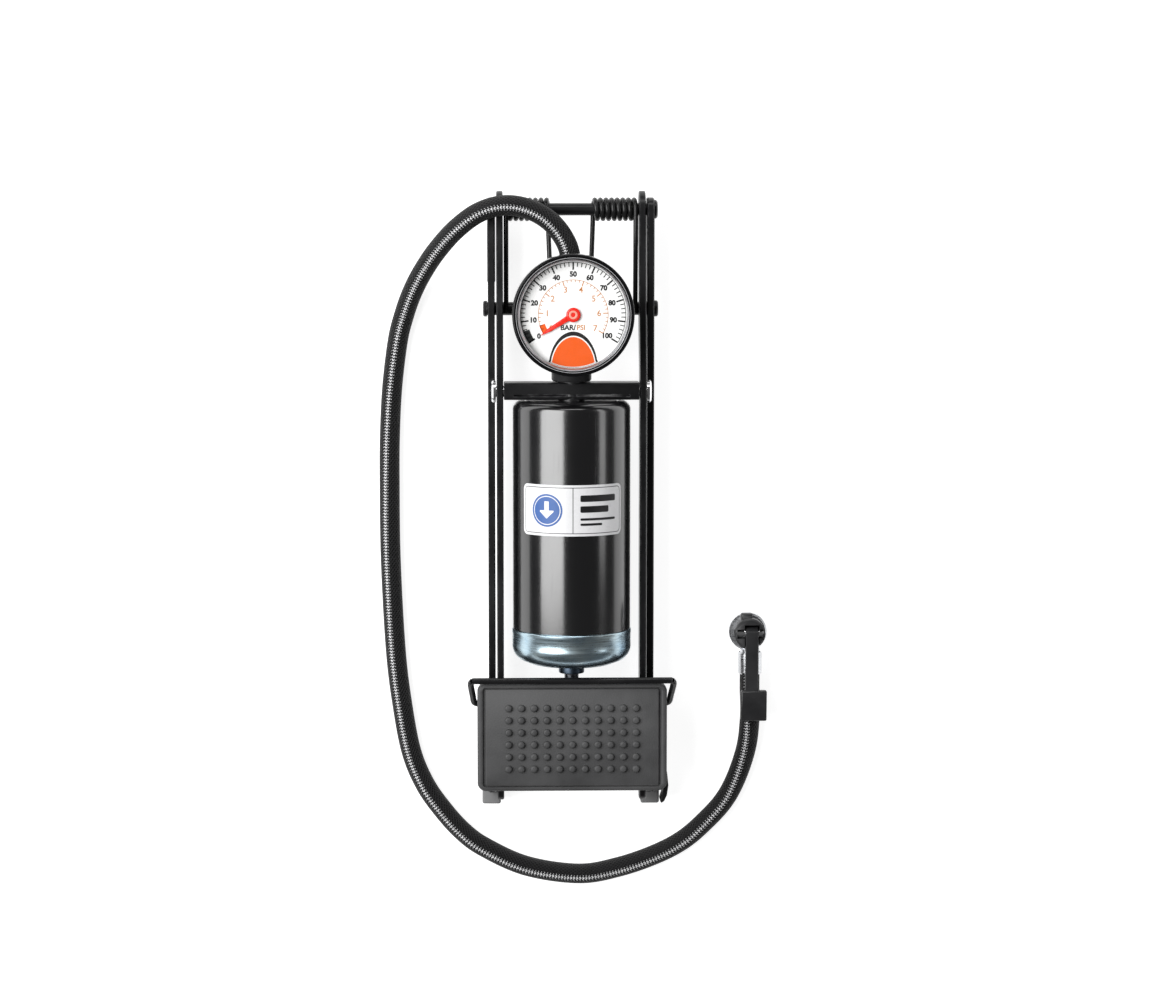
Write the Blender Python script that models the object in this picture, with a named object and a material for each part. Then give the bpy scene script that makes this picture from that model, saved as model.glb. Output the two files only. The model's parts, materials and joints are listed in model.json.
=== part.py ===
"""Single-barrel foot air pump with a dial gauge, folded flat on the floor.

+Z is up, +Y runs from the pedal towards the main hinge, and the origin is on the floor under the middle of
the folded pump. Everything is drawn in millimetres, then scaled to metres and moved along Y by SHIFT_Y.
"""

import math

import bmesh
import bpy
from mathutils import Vector

MM = 0.001
SHIFT_Y = 4.0

# Driving dimensions.
BARREL_RADIUS = 27.5
BARREL_WALL = 1.7
AXIS_Z = 30.5  # height of the barrel's axis, where the rivets and the piston rod also are
HEAD_END = 44.6  # y of the barrel's closed end
OPEN_END = -62.0  # y of the barrel's open end, under the cap
GAUGE_Y = 86.0
GAUGE_RADIUS = 27.8
HOSE_RADIUS = 4.75
GAP = 0.3  # clearance between pieces that touch

# Joint axes that run across the pump: (y, z).
HINGE = (132.5, 15.5)
HEAD = (48.6, AXIS_Z)
FOOT_PIN = (-93.0, AXIS_Z)
BAIL = (-98.0, 32.0)
TIE = (86.0, 12.0)

# Flat bars: inner and outer face, from the middle plane.
RAIL = (35.5, 38.8)
RAIL_Z = (6.5, 24.5)
RAIL_Y = (-143.0, 138.0)
ARM = (31.7, 34.8)
ARM_Z = (23.4, 36.6)
ARM_FRONT = -143.8
HINGE_HOLE = 3.0
RIVET_HOLE = 2.7

# Pedal.
PEDAL_HALF = 44.2
PEDAL_Y = (-137.5, -86.6)
PAD_Z = (39.2, 44.6)
STUD_TOP = 46.1
STUD_PITCH = (5.94, 5.74)
STUD_COUNT = (11, 6)
STUD_FIRST = (-29.7, -126.9)

# Tyre chuck, which stands on its mouth.
CHUCK = (84.8, -67.6)
CHUCK_BODY = (84.3, -67.6)  # the body's wall stands slightly off its bore
CHUCK_NECK = (85.4, 8.6)  # x and z of the neck that takes the hose
LEVER_PIN = (85.8, -67.6, 16.2)

GAUGE_AT = (0.0, GAUGE_Y, 0.0)
AXIS = (0.0, 0.0, AXIS_Z)

# Bodies: the point on its joint's axis where each one's empty stands, and the body that carries it.
BODIES = {
    "base": ((0.0, 0.0, 0.0), None),
    "pedal_frame": ((0.0, *HINGE), "base"),
    "bail": ((0.0, *BAIL), "pedal_frame"),
    "cylinder": ((0.0, *HEAD), "pedal_frame"),
    "needle": ((0.0, GAUGE_Y, 61.0), "cylinder"),
    "piston": ((0.0, *FOOT_PIN), "cylinder"),
    "lever": (LEVER_PIN, "base"),
}

SIDES = ((-1, "left"), (1, "right"))

# Finishes: colour, roughness and metallic.
FINISHES = {
    "frame_black": ((0.020, 0.020, 0.022), 0.35, 0.0),
    "spring_black": ((0.015, 0.015, 0.017), 0.35, 0.0),
    "wire_black": ((0.015, 0.015, 0.016), 0.22, 0.0),
    "barrel_gloss_black": ((0.020, 0.021, 0.022), 0.18, 0.0),
    "cap_zinc": ((0.420, 0.450, 0.500), 0.30, 1.0),
    "zinc_plate": ((0.720, 0.730, 0.750), 0.22, 1.0),
    "chrome": ((0.850, 0.850, 0.860), 0.10, 1.0),
    "rod_steel": ((0.550, 0.560, 0.580), 0.25, 1.0),
    "foot_rubber": ((0.130, 0.130, 0.130), 0.65, 0.0),
    "pad_rubber": ((0.090, 0.090, 0.090), 0.60, 0.0),
    "seal_rubber": ((0.020, 0.020, 0.020), 0.60, 0.0),
    "hose_braid": ((0.020, 0.020, 0.020), 0.55, 0.0),
    "black_plastic": ((0.020, 0.020, 0.021), 0.40, 0.0),
    "bezel_gloss": ((0.010, 0.010, 0.010), 0.12, 0.0),
    "lens_clear": ((1.000, 1.000, 1.000), 0.04, 0.0),
    "dial_white": ((0.900, 0.900, 0.880), 0.45, 0.0),
    "brass": ((0.700, 0.520, 0.220), 0.30, 1.0),
    "needle_red": ((0.700, 0.030, 0.020), 0.35, 0.0),
}


# ---------------------------------------------------------------- meshes

def mesh_of(points, faces):
    bm = bmesh.new()
    corners = [bm.verts.new(p) for p in points]
    for face in faces:
        bm.faces.new([corners[i] for i in face])
    bmesh.ops.recalc_face_normals(bm, faces=bm.faces)
    return bm


def turned(profile, axis, at, steps):
    """A solid of revolution from a closed loop of (radius, height); axis is the letter it turns about."""
    points = []
    faces = []
    rings = []
    for radius, height in profile:
        ring = []
        for i in range(steps if radius else 1):
            turn = 2 * math.pi * i / steps
            a = radius * math.cos(turn)
            b = radius * math.sin(turn)
            offset = {"X": (height, a, b), "Y": (a, height, b), "Z": (a, b, height)}[axis]
            ring.append(len(points))
            points.append(Vector(at) + Vector(offset))
        rings.append(ring)
    for k, low in enumerate(rings):
        high = rings[(k + 1) % len(rings)]
        if len(low) == 1 and len(high) == 1:
            continue
        for i in range(steps):
            j = (i + 1) % steps
            if len(low) == 1:
                faces.append((low[0], high[i], high[j]))
            elif len(high) == 1:
                faces.append((low[i], low[j], high[0]))
            else:
                faces.append((low[i], low[j], high[j], high[i]))
    return mesh_of(points, faces)


def rod(axis, at, radius, low, high, steps=24):
    return turned([(0, low), (radius, low), (radius, high), (0, high)], axis, at, steps)


def cross_rod(pivot, radius, low, high, steps=24):
    """A rod across the pump, through a (y, z) point."""
    return rod("X", (0, *pivot), radius, low, high, steps)


def pressed(outline, axis, low, high):
    """A closed outline pushed along an axis. It is (y, z) along X, (x, z) along Y and (x, y) along Z."""
    points = []
    for level in (low, high):
        for a, b in outline:
            points.append({"X": (level, a, b), "Y": (a, level, b), "Z": (a, b, level)}[axis])
    n = len(outline)
    faces = [tuple(range(n)), tuple(range(2 * n - 1, n - 1, -1))]
    faces += [(i, (i + 1) % n, (i + 1) % n + n, i + n) for i in range(n)]
    return mesh_of(points, faces)


def block(x, y, z):
    """A box from its (low, high) along each axis."""
    return pressed([(x[0], y[0]), (x[1], y[0]), (x[1], y[1]), (x[0], y[1])], "Z", *z)


def on_side(side, low, high):
    """The same span of x on the right, or mirrored on the left."""
    return (low, high) if side > 0 else (-high, -low)


def eased(bm, width, steps=2, sharp=30.0):
    """Rounds the edges whose faces meet at more than the given angle."""
    found = [e for e in bm.edges if len(e.link_faces) == 2]
    edges = [e for e in found if e.calc_face_angle(0.0) > math.radians(sharp)]
    bmesh.ops.bevel(
        bm, geom=edges, offset=width, segments=steps, profile=0.5, affect="EDGES", clamp_overlap=True
    )
    return bm


def arc(centre, radius, start, end, steps):
    """Points along an arc, between two angles in degrees."""
    turns = [math.radians(start + (end - start) * i / steps) for i in range(steps + 1)]
    return [(centre[0] + radius * math.cos(t), centre[1] + radius * math.sin(t)) for t in turns]


def rounded(corners, steps=4):
    """A closed outline from corners given as (a, b, radius)."""
    out = []
    for i, (a, b, radius) in enumerate(corners):
        if not radius:
            out.append((a, b))
            continue
        here = Vector((a, b))
        back = (Vector(corners[i - 1][:2]) - here).normalized()
        on = (Vector(corners[(i + 1) % len(corners)][:2]) - here).normalized()
        half = back.angle(on) / 2
        middle = here + (back + on).normalized() * (radius / math.sin(half))
        start = here + back * (radius / math.tan(half)) - middle
        end = here + on * (radius / math.tan(half)) - middle
        first = math.degrees(math.atan2(start.y, start.x))
        out += arc(middle, radius, first, first - math.degrees(start.angle_signed(end)), steps)
    return out


def rectangle(low, high, radius, steps=4):
    """A rectangle with round corners, from its low and high (a, b) corners."""
    (a, b), (c, d) = low, high
    return rounded([(a, b, radius), (c, b, radius), (c, d, radius), (a, d, radius)], steps)


# ---------------------------------------------------------------- objects

def finish_of(name):
    """The Principled material of a finish, made when it is first asked for."""
    material = bpy.data.materials.get(name)
    if material is None:
        color, roughness, metallic = FINISHES[name]
        material = bpy.data.materials.new(name)
        material.use_nodes = True
        shader = material.node_tree.nodes["Principled BSDF"]
        shader.inputs["Base Color"].default_value = (*color, 1.0)
        shader.inputs["Roughness"].default_value = roughness
        shader.inputs["Metallic"].default_value = metallic
        if name == "lens_clear":
            shader.inputs["Transmission Weight"].default_value = 1.0
    return material


def in_world(at):
    """A point of the drawing, in metres."""
    return Vector((at[0], at[1] + SHIFT_Y, at[2])) * MM


def body_empty(body):
    """The empty that a body's pieces are parented to, made when it is first asked for."""
    name = f"{body}_pivot"
    empty = bpy.data.objects.get(name)
    if empty is None:
        at, carrier = BODIES[body]
        empty = bpy.data.objects.new(name, None)
        empty.empty_display_size = 0.02
        bpy.context.scene.collection.objects.link(empty)
        empty.location = in_world(at)
        if carrier:
            empty.parent = body_empty(carrier)
            empty.location -= in_world(BODIES[carrier][0])
    return empty


def placed(name, data, body, finish):
    """An object whose origin is on its body's empty."""
    obj = bpy.data.objects.new(name, data)
    bpy.context.scene.collection.objects.link(obj)
    obj.parent = body_empty(body)
    if finish:
        data.materials.append(finish_of(finish))
    return obj


def shade(mesh, sharp=38.0):
    mesh.shade_smooth()
    mesh.set_sharp_from_angle(angle=math.radians(sharp))


def thing(name, bm, body, finish):
    """One object from a mesh in millimetres, shaded smooth between its sharp edges."""
    mesh = bpy.data.meshes.new(name)
    bmesh.ops.translate(bm, verts=bm.verts, vec=-Vector(BODIES[body][0]))
    bmesh.ops.scale(bm, verts=bm.verts, vec=(MM, MM, MM))
    bm.to_mesh(mesh)
    bm.free()
    shade(mesh)
    return placed(name, mesh, body, finish)


def joined(obj, operation, shapes):
    """Adds or cuts other shapes, in millimetres, and keeps only the result."""
    helpers = []
    for i, bm in enumerate(shapes):
        helper = thing(f"{obj.name}_helper_{i}", bm, "base", None)
        helper.hide_render = True
        helper.display_type = "WIRE"
        modifier = obj.modifiers.new(helper.name, "BOOLEAN")
        modifier.operation = operation
        modifier.solver = "EXACT"
        modifier.object = helper
        helpers.append(helper)
    bpy.context.view_layer.update()
    before = obj.data
    after = bpy.data.meshes.new_from_object(obj.evaluated_get(bpy.context.evaluated_depsgraph_get()))
    obj.modifiers.clear()
    obj.data = after
    bpy.data.meshes.remove(before)
    after.name = obj.name
    for helper in helpers:
        bpy.data.objects.remove(helper)
    bm = bmesh.new()
    bm.from_mesh(after)
    bmesh.ops.remove_doubles(bm, verts=bm.verts, dist=0.002 * MM)
    bmesh.ops.dissolve_degenerate(bm, edges=bm.edges, dist=0.001 * MM)
    bm.to_mesh(after)
    bm.free()
    shade(after)
    return obj


def cut(obj, *shapes):
    return joined(obj, "DIFFERENCE", shapes)


def added(obj, *shapes):
    return joined(obj, "UNION", shapes)


def smooth_path(route, spacing):
    """Points along a smooth curve through the route, about one spacing apart."""
    points = [Vector(p) for p in route]
    ends = [points[0] * 2 - points[1]] + points + [points[-1] * 2 - points[-2]]
    fine = []
    for i in range(1, len(ends) - 2):
        a, b, c, d = ends[i - 1 : i + 3]
        for k in range(24):
            t = k / 24
            line = b * 2 + (c - a) * t
            bend = (a * 2 - b * 5 + c * 4 - d) * t**2 + (b * 3 - a - c * 3 + d) * t**3
            fine.append((line + bend) * 0.5)
    fine.append(points[-1])
    far = [0.0]
    for a, b in zip(fine, fine[1:]):
        far.append(far[-1] + (b - a).length)
    count = max(2, round(far[-1] / spacing))
    out = []
    j = 0
    for i in range(count + 1):
        want = far[-1] * i / count
        while j < len(far) - 2 and far[j + 1] < want:
            j += 1
        part = (want - far[j]) / (far[j + 1] - far[j])
        out.append(fine[j].lerp(fine[j + 1], min(max(part, 0.0), 1.0)))
    return out


def wire(name, points, radius, body, finish, roundness):
    """A round wire or hose along points in millimetres, as a bevelled curve with closed ends."""
    curve = bpy.data.curves.new(name, "CURVE")
    curve.dimensions = "3D"
    curve.bevel_depth = radius * MM
    curve.bevel_resolution = roundness
    curve.use_fill_caps = True
    curve.twist_mode = "MINIMUM"
    line = curve.splines.new("POLY")
    line.points.add(len(points) - 1)
    origin = Vector(BODIES[body][0])
    for spot, p in zip(line.points, points):
        spot.co = (*((Vector(p) - origin) * MM), 1.0)
    line.use_smooth = True
    return placed(name, curve, body, finish)


def mirrored(half):
    """A route from the right to the middle, carried on to the left."""
    return half + [(-x, y, z) for x, y, z in reversed(half)]


# ---------------------------------------------------------------- base frame

def make_rails():
    """The two outer flat bars, on edge, that lie on the feet."""
    outline = rectangle((RAIL_Y[0], RAIL_Z[0]), (RAIL_Y[1], RAIL_Z[1]), 5.2)
    tie_hole = 3.2
    for side, word in SIDES:
        low, high = on_side(side, *RAIL)
        bar = eased(pressed(outline, "X", low, high), 0.5, 1, 50.0)
        rail = thing(f"base_rail_{word}", bar, "base", "frame_black")
        cut(
            rail,
            cross_rod(HINGE, HINGE_HOLE, low - 2, high + 2, 28),
            cross_rod(TIE, tie_hole, low - 2, high + 2),
        )


def headed_rod(shaft, head, tip, thickness):
    """Profile of a rod across the rails, with a chamfered head against each rail's outer face."""
    seat = RAIL[1] + GAP
    end = seat + thickness
    half = [(shaft, seat), (head, seat), (head, end - (head - tip)), (tip, end), (0, end)]
    return [(r, -h) for r, h in reversed(half)] + half


def make_cross_rods():
    """The tie rod across the base and the main hinge's axle."""
    tie = turned(headed_rod(3.1, 3.8, 3.2, 1.9), "X", (0, *TIE), 24)
    thing("tie_rod", tie, "base", "frame_black")
    axle = turned(headed_rod(HINGE_HOLE - 0.1, 4.4, 3.7, 1.4), "X", (0, *HINGE), 28)
    thing("hinge_axle", axle, "base", "frame_black")


def make_anchor():
    """The plate across the rails under the pedal, with two cheeks and pins for the foot of the piston rod."""
    reach = RAIL[0] - 0.4
    plate_y = (-118.0, -95.0)
    plate_z = (8.0, 10.6)
    cheek_x = (4.9, 7.4)
    pin_hole = 2.7
    plate = eased(block((-reach, reach), plate_y, plate_z), 0.5)
    anchor = thing("anchor_bracket", plate, "base", "frame_black")
    foot_z = plate_z[0] + 1.5
    cheek = [(-112.0, foot_z), (-106.5, 13.0)] + arc(FOOT_PIN, 5.4, 195, -15, 12)
    cheek += [(-96.5, 14.0), (-95.4, foot_z)]
    parts = []
    for side, _ in SIDES:
        parts.append(pressed(cheek, "X", *on_side(side, *cheek_x)))
        lip = block(on_side(side, reach - 2.5, reach), (plate_y[0] + 1, plate_y[1] - 1), (foot_z, 20.0))
        parts.append(eased(lip, 0.4, 1))
    added(anchor, *parts)
    cut(anchor, cross_rod(FOOT_PIN, pin_hole, -12, 12))
    inner = cheek_x[0] - 0.5
    seat = cheek_x[1] + 0.2
    pin = pin_hole - 0.1
    profile = [(0, inner), (pin, inner), (pin, seat), (3.9, seat), (3.9, seat + 1.0), (3.2, seat + 1.6)]
    profile.append((0, seat + 1.6))
    for side, word in SIDES:
        loop = [(r, side * h) for r, h in profile]
        thing(f"rod_pin_{word}", turned(loop, "X", (0, *FOOT_PIN), 24), "base", "zinc_plate")


def make_feet():
    """Rubber blocks on the rails' front ends, and strips under their rear ends."""
    slot = (RAIL[0] - GAP, RAIL[1] + GAP)
    for side, word in SIDES:
        front = block(on_side(side, 33.2, 42.0), (-149.2, -125.0), (0.0, 16.0))
        foot = thing(f"front_foot_{word}", eased(front, 1.0, 3), "base", "foot_rubber")
        cut(foot, block(on_side(side, *slot), (RAIL_Y[0] - GAP, -120.0), (RAIL_Z[0] - GAP, 20.0)))
        rear = block(on_side(side, *slot), (98.0, 130.0), (0.0, RAIL_Z[0] - GAP))
        thing(f"rear_foot_{word}", eased(rear, 0.7), "base", "foot_rubber")


def make_toe():
    """The bent leaf that stands out from the right rail beside the front foot."""
    outer = [(39.1, -111.0), (40.4, -116.5), (42.3, -121.5), (44.2, -127.5), (45.7, -134.0), (46.3, -140.0)]
    tip = [(45.6, -144.8), (44.3, -147.6), (42.9, -148.6), (42.4, -147.6), (43.4, -144.6)]
    inner = [(44.2, -140.0), (43.7, -134.4), (42.6, -128.6), (42.35, -125.0), (40.9, -121.5), (39.1, -117.0)]
    leaf = eased(pressed(outer + tip + inner, "Z", 7.5, 19.5), 0.35, 1, 60.0)
    thing("rail_toe_right", leaf, "base", "frame_black")


def make_spring():
    """A double torsion spring: a leg over the tie rod, a coil on the axle, and a loop under the manifold."""
    turns = 7.5
    steps = 12
    pitch = 2.62
    mean = 4.45
    outer = 30.2
    inner = outer - pitch * turns
    leg = ((84.2, 17.0), (90.0, 16.9), (105.0, 18.2), (120.0, 19.4))
    half = [(outer, y, z) for y, z in leg]
    for i in range(int(turns * steps) + 1):
        turn = math.radians(90) - 2 * math.pi * i / steps
        y = HINGE[0] + mean * math.cos(turn)
        z = HINGE[1] + mean * math.sin(turn)
        half.append((outer - pitch * i / steps, y, z))
    half += [(inner - 0.1, 126.0, 11.0), (10.0, 114.0, 12.0), (9.5, 101.0, 14.6), (9.2, 91.5, 16.9)]
    half += [(9.0, 80.0, 17.3), (8.8, 70.0, 18.0), (8.6, 66.0, 18.4), (8.3, 63.2, 18.9)]
    half += [(7.2, 61.1, 19.4), (5.2, 60.2, 19.6), (2.5, 60.2, 19.6)]
    wire("return_spring", mirrored(half), 1.15, "base", "spring_black", 1)


# ---------------------------------------------------------------- pedal frame

def make_arms():
    """The two inner flat bars, which widen towards the main hinge, and the rivets through them."""
    front_radius = 4.6
    corners = [(40.0, ARM_Z[0], 0), (ARM_FRONT, ARM_Z[0], front_radius)]
    corners += [(ARM_FRONT, ARM_Z[1], front_radius), (40.0, ARM_Z[1], 0)]
    under = [(118.0, 10.6), (104.0, 13.6), (95.0, 15.5), (78.0, 15.5)]
    under += [(66.0, 20.0), (56.0, 22.8), (48.0, ARM_Z[0])]
    over = [(56.0, ARM_Z[1]), (62.0, 36.0), (70.0, 34.2), (100.0, 27.6), (118.0, 24.9)]
    outline = arc(HINGE, 8.7, 100, -108, 11) + under + rounded(corners) + over
    shank = RIVET_HOLE - 0.1
    seat = ARM[1] + GAP
    rivet = [(0, 28.9), (shank, 28.9), (shank, seat), (5.45, seat), (5.45, 36.3), (4.6, 37.1), (0, 37.4)]
    for side, word in SIDES:
        low, high = on_side(side, *ARM)
        bar = eased(pressed(outline, "X", low, high), 0.45, 1, 60.0)
        arm = thing(f"pedal_arm_{word}", bar, "pedal_frame", "frame_black")
        cut(
            arm,
            cross_rod(HINGE, HINGE_HOLE, low - 2, high + 2, 28),
            cross_rod(HEAD, RIVET_HOLE, low - 2, high + 2),
        )
        loop = [(r, side * h) for r, h in rivet]
        thing(f"yoke_rivet_{word}", turned(loop, "X", (0, *HEAD), 24), "pedal_frame", "chrome")


def make_pedal_plate():
    """A folded steel plate with a side wall outside each rail, which carries the pad and the bail."""
    outer = 42.9
    wall = 1.8
    top = PAD_Z[0] - GAP
    under = top - 2.0
    skirt = 25.0
    ease = 0.9
    section = [(-outer, skirt), (wall - outer, skirt), (wall - outer, under), (outer - wall, under)]
    section += [(outer - wall, skirt), (outer, skirt), (outer, top - ease), (outer - ease, top)]
    section += [(ease - outer, top), (-outer, top - ease)]
    folded = pressed(section, "Y", PEDAL_Y[0] + 1.1, PEDAL_Y[1] - 1.0)
    plate = thing("pedal_plate", folded, "pedal_frame", "frame_black")
    front_cut = [(-150.0, 20.0), (-126.0, 20.0), (-126.0, 30.0), (-134.0, 37.0), (-150.0, 37.0)]
    rear_cut = [(-80.0, 20.0), (-94.5, 20.0), (-92.5, 28.0), (-89.6, 36.2), (-80.0, 36.2)]
    cut(
        plate,
        cross_rod(BAIL, 1.65, -46, 46, 20),
        pressed(front_cut, "X", -46, 46),
        pressed(rear_cut, "X", -46, 46),
    )


def framed(low, high, width, z):
    """A rectangular frame lying flat: four blocks that overlap at the corners."""
    (a, b), (c, d) = low, high
    front_and_back = [block((a, c), y, z) for y in ((b, b + width), (d - width, d))]
    sides = [block(x, (b, d), z) for x in ((a, a + width), (c - width, c))]
    return front_and_back + sides


def make_pad():
    """The rubber tread, with a groove round it and rows of studs."""
    outline = rectangle((-PEDAL_HALF, PEDAL_Y[0]), (PEDAL_HALF, PEDAL_Y[1]), 4.0, 6)
    slab = eased(pressed(outline, "Z", *PAD_Z), 0.9, 2, 50.0)
    pad = thing("pedal_pad", slab, "pedal_frame", "pad_rubber")
    inset = 4.3
    low = (inset - PEDAL_HALF, PEDAL_Y[0] + inset)
    high = (PEDAL_HALF - inset, PEDAL_Y[1] - inset)
    cut(pad, *framed(low, high, 0.8, (PAD_Z[1] - 0.7, PAD_Z[1] + 1.0)))
    studs = bmesh.new()
    for column in range(STUD_COUNT[0]):
        for row in range(STUD_COUNT[1]):
            at = (STUD_FIRST[0] + STUD_PITCH[0] * column, STUD_FIRST[1] + STUD_PITCH[1] * row, 0)
            foot = PAD_Z[1] - 0.6
            one = turned([(0, foot), (1.75, foot), (1.25, STUD_TOP), (0, STUD_TOP)], "Z", at, 8)
            mesh = bpy.data.meshes.new("stud")
            one.to_mesh(mesh)
            one.free()
            studs.from_mesh(mesh)
            bpy.data.meshes.remove(mesh)
    added(pad, studs)


def make_bail():
    """The wire bail: a bar over the pedal's rear edge, bent down each side to its hole in the side wall."""
    half = [(39.4, *BAIL), (43.0, *BAIL), (44.4, -97.9, 32.1), (45.5, -97.3, 32.8), (46.0, -96.0, 34.3)]
    half += [(46.4, -93.0, 37.6), (47.0, -89.0, 42.0), (47.2, -87.0, 44.2), (46.9, -85.7, 45.6)]
    half += [(46.0, -85.1, 46.3), (44.4, -85.0, 46.4), (20.0, -85.0, 46.4)]
    wire("locking_bail", mirrored(half), 1.5, "bail", "wire_black", 3)


# ---------------------------------------------------------------- cylinder

def make_yoke():
    """The crossbar at the barrel's head, bored at its ends for the rivets and in its middle."""
    reach = ARM[0] - GAP
    rivet_depth = 3.0
    manifold_hole = 6.3
    bar = eased(pressed(rectangle((45.0, 24.0), (53.0, 37.0), 1.2, 3), "X", -reach, reach), 0.3, 1, 60.0)
    yoke = thing("head_yoke", bar, "cylinder", "frame_black")
    cut(
        yoke,
        cross_rod(HEAD, RIVET_HOLE, -reach - 2, rivet_depth - reach),
        cross_rod(HEAD, RIVET_HOLE, reach - rivet_depth, reach + 2),
        rod("Y", AXIS, manifold_hole, 40, 60),
        block((-27.0, 27.0), (46.6, 47.6), (36.4, 38.0)),
    )


def make_barrel():
    """The drawn tube with its turned-over head, open at the cap's end."""
    outer = BARREL_RADIUS
    inner = BARREL_RADIUS - BARREL_WALL
    bore = 6.3
    head = [(27.1, 41.6), (26.2, 43.0), (24.8, 43.9), (22.8, 44.4), (bore, HEAD_END)]
    inside = [(bore, HEAD_END - 2.2), (22.4, 42.2), (24.2, 41.6), (25.4, 40.4)]
    loop = [(outer, OPEN_END), (outer, 40.0)] + head + inside + [(inner, 39.0), (inner, OPEN_END)]
    thing("cylinder_barrel", turned(loop, "Y", AXIS, 52), "cylinder", "barrel_gloss_black")


def make_cap():
    """The pressed end cap, whose rim goes inside the barrel, and the bush in its middle."""
    seam = OPEN_END - 0.4
    outer = BARREL_RADIUS + GAP
    plug = BARREL_RADIUS - BARREL_WALL - GAP
    bore = 4.9
    outside = [(outer, seam), (outer, -71.0), (27.2, -73.6), (25.4, -76.0), (22.6, -77.8), (18.5, -79.0)]
    outside += [(12.0, -79.4), (bore, -79.4)]
    inside = [(bore, -76.6), (12.0, -76.6), (18.0, -76.2), (21.6, -75.2), (23.6, -73.6), (24.4, -71.0)]
    rim = [(24.4, OPEN_END + 5.0), (plug, OPEN_END + 5.0), (plug, seam)]
    thing("end_cap", turned(outside + inside + rim, "Y", AXIS, 52), "cylinder", "cap_zinc")
    hole = 3.45
    bush = [(hole, -83.6), (5.7, -83.6), (6.0, -83.3), (6.0, -79.7), (4.6, -79.7), (4.6, -74.6)]
    bush += [(4.2, -74.0), (hole, -74.0)]
    thing("rod_bush", turned(bush, "Y", AXIS, 26), "cylinder", "black_plastic")


def make_manifold():
    """The outlet from the barrel's head through the yoke, under the gauge, to the hose's ferrule."""
    flange = [(0, 40.6), (8.2, 40.6), (8.2, 42.1), (6.0, 42.1), (6.0, 53.4)]
    body = [(8.6, 53.4), (9.3, 54.2), (9.3, 94.0), (8.4, 95.6), (5.0, 95.6), (5.0, 99.8), (0, 99.8)]
    manifold = thing("outlet_manifold", turned(flange + body, "Y", AXIS, 32), "cylinder", "black_plastic")
    post = [(0, AXIS_Z), (7.6, AXIS_Z), (7.6, 43.4), (6.6, 44.4), (4.2, 44.4), (4.2, 48.6), (0, 48.6)]
    added(manifold, turned(post, "Z", GAUGE_AT, 24))
    cut(manifold, rod("Y", AXIS, 2.4, 39, 101, 20), rod("Z", GAUGE_AT, 1.8, AXIS_Z, 52, 16))
    hole = HOSE_RADIUS + 0.55
    ferrule = [(hole, 96.2), (6.3, 96.2), (6.6, 96.8), (6.6, 108.4), (6.2, 109.0), (hole, 109.0)]
    thing("hose_ferrule", turned(ferrule, "Y", AXIS, 28), "cylinder", "zinc_plate")


# ---------------------------------------------------------------- gauge

def make_gauge():
    """Case, bezel, lens, dial and movement, all about the gauge's own axis."""
    outer = 26.4
    lip = 24.7
    dial_z = (61.2, 61.8)
    lens_z = (63.4, 64.8)
    shell = [(4.4, 44.8), (21.0, 44.8), (24.4, 46.2), (26.0, 49.0), (outer, 52.0), (outer, 63.0), (lip, 63.0)]
    shell += [(lip, 60.9), (24.1, 60.9), (24.1, 52.4), (23.4, 49.4), (20.6, 47.4), (4.4, 47.0)]
    thing("gauge_case", turned(shell, "Z", GAUGE_AT, 44), "cylinder", "black_plastic")
    ring = [(outer + GAP, 55.6), (27.5, 55.6), (GAUGE_RADIUS, 56.4), (GAUGE_RADIUS, 64.4), (27.3, 66.0)]
    ring += [(26.2, 67.1), (25.2, 67.2), (24.4, 66.4), (24.25, 65.3), (outer + GAP, 65.1)]
    thing("gauge_bezel", turned(ring, "Z", GAUGE_AT, 44), "cylinder", "bezel_gloss")
    thing("gauge_lens", rod("Z", GAUGE_AT, outer - 0.1, *lens_z, 44), "cylinder", "lens_clear")
    card = [(1.5, dial_z[0]), (lip - 0.2, dial_z[0]), (lip - 0.2, dial_z[1]), (1.5, dial_z[1])]
    thing("gauge_dial", turned(card, "Z", GAUGE_AT, 44), "cylinder", "dial_white")
    works = block((-9.0, 9.0), (GAUGE_Y - 9.5, GAUGE_Y + 9.5), (50.0, 59.6))
    movement = thing("gauge_movement", eased(works, 0.8), "cylinder", "brass")
    cut(movement, rod("Z", GAUGE_AT, 1.3, 56.6, 62.0, 16), rod("Z", GAUGE_AT, 4.5, 48.0, 52.0))


def make_needle():
    """The needle on its spindle, at the scale's zero."""
    zero = math.radians(212.0)
    hub = [(0, 57.0), (1.0, 57.0), (1.0, 62.1), (3.3, 62.1), (3.3, 62.9), (2.6, 63.1), (0, 63.1)]
    needle = thing("gauge_needle", turned(hub, "Z", GAUGE_AT, 28), "needle", "needle_red")
    blade = [(0.0, -1.4), (13.5, -0.8), (17.6, 0.0), (13.5, 0.8), (0.0, 1.4)]
    along = Vector((math.cos(zero), math.sin(zero)))
    aside = Vector((-math.sin(zero), math.cos(zero)))
    middle = Vector((0.0, GAUGE_Y))
    outline = [tuple(middle + along * a + aside * b) for a, b in blade]
    added(needle, pressed(outline, "Z", 62.25, 62.7))


# ---------------------------------------------------------------- piston

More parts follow.
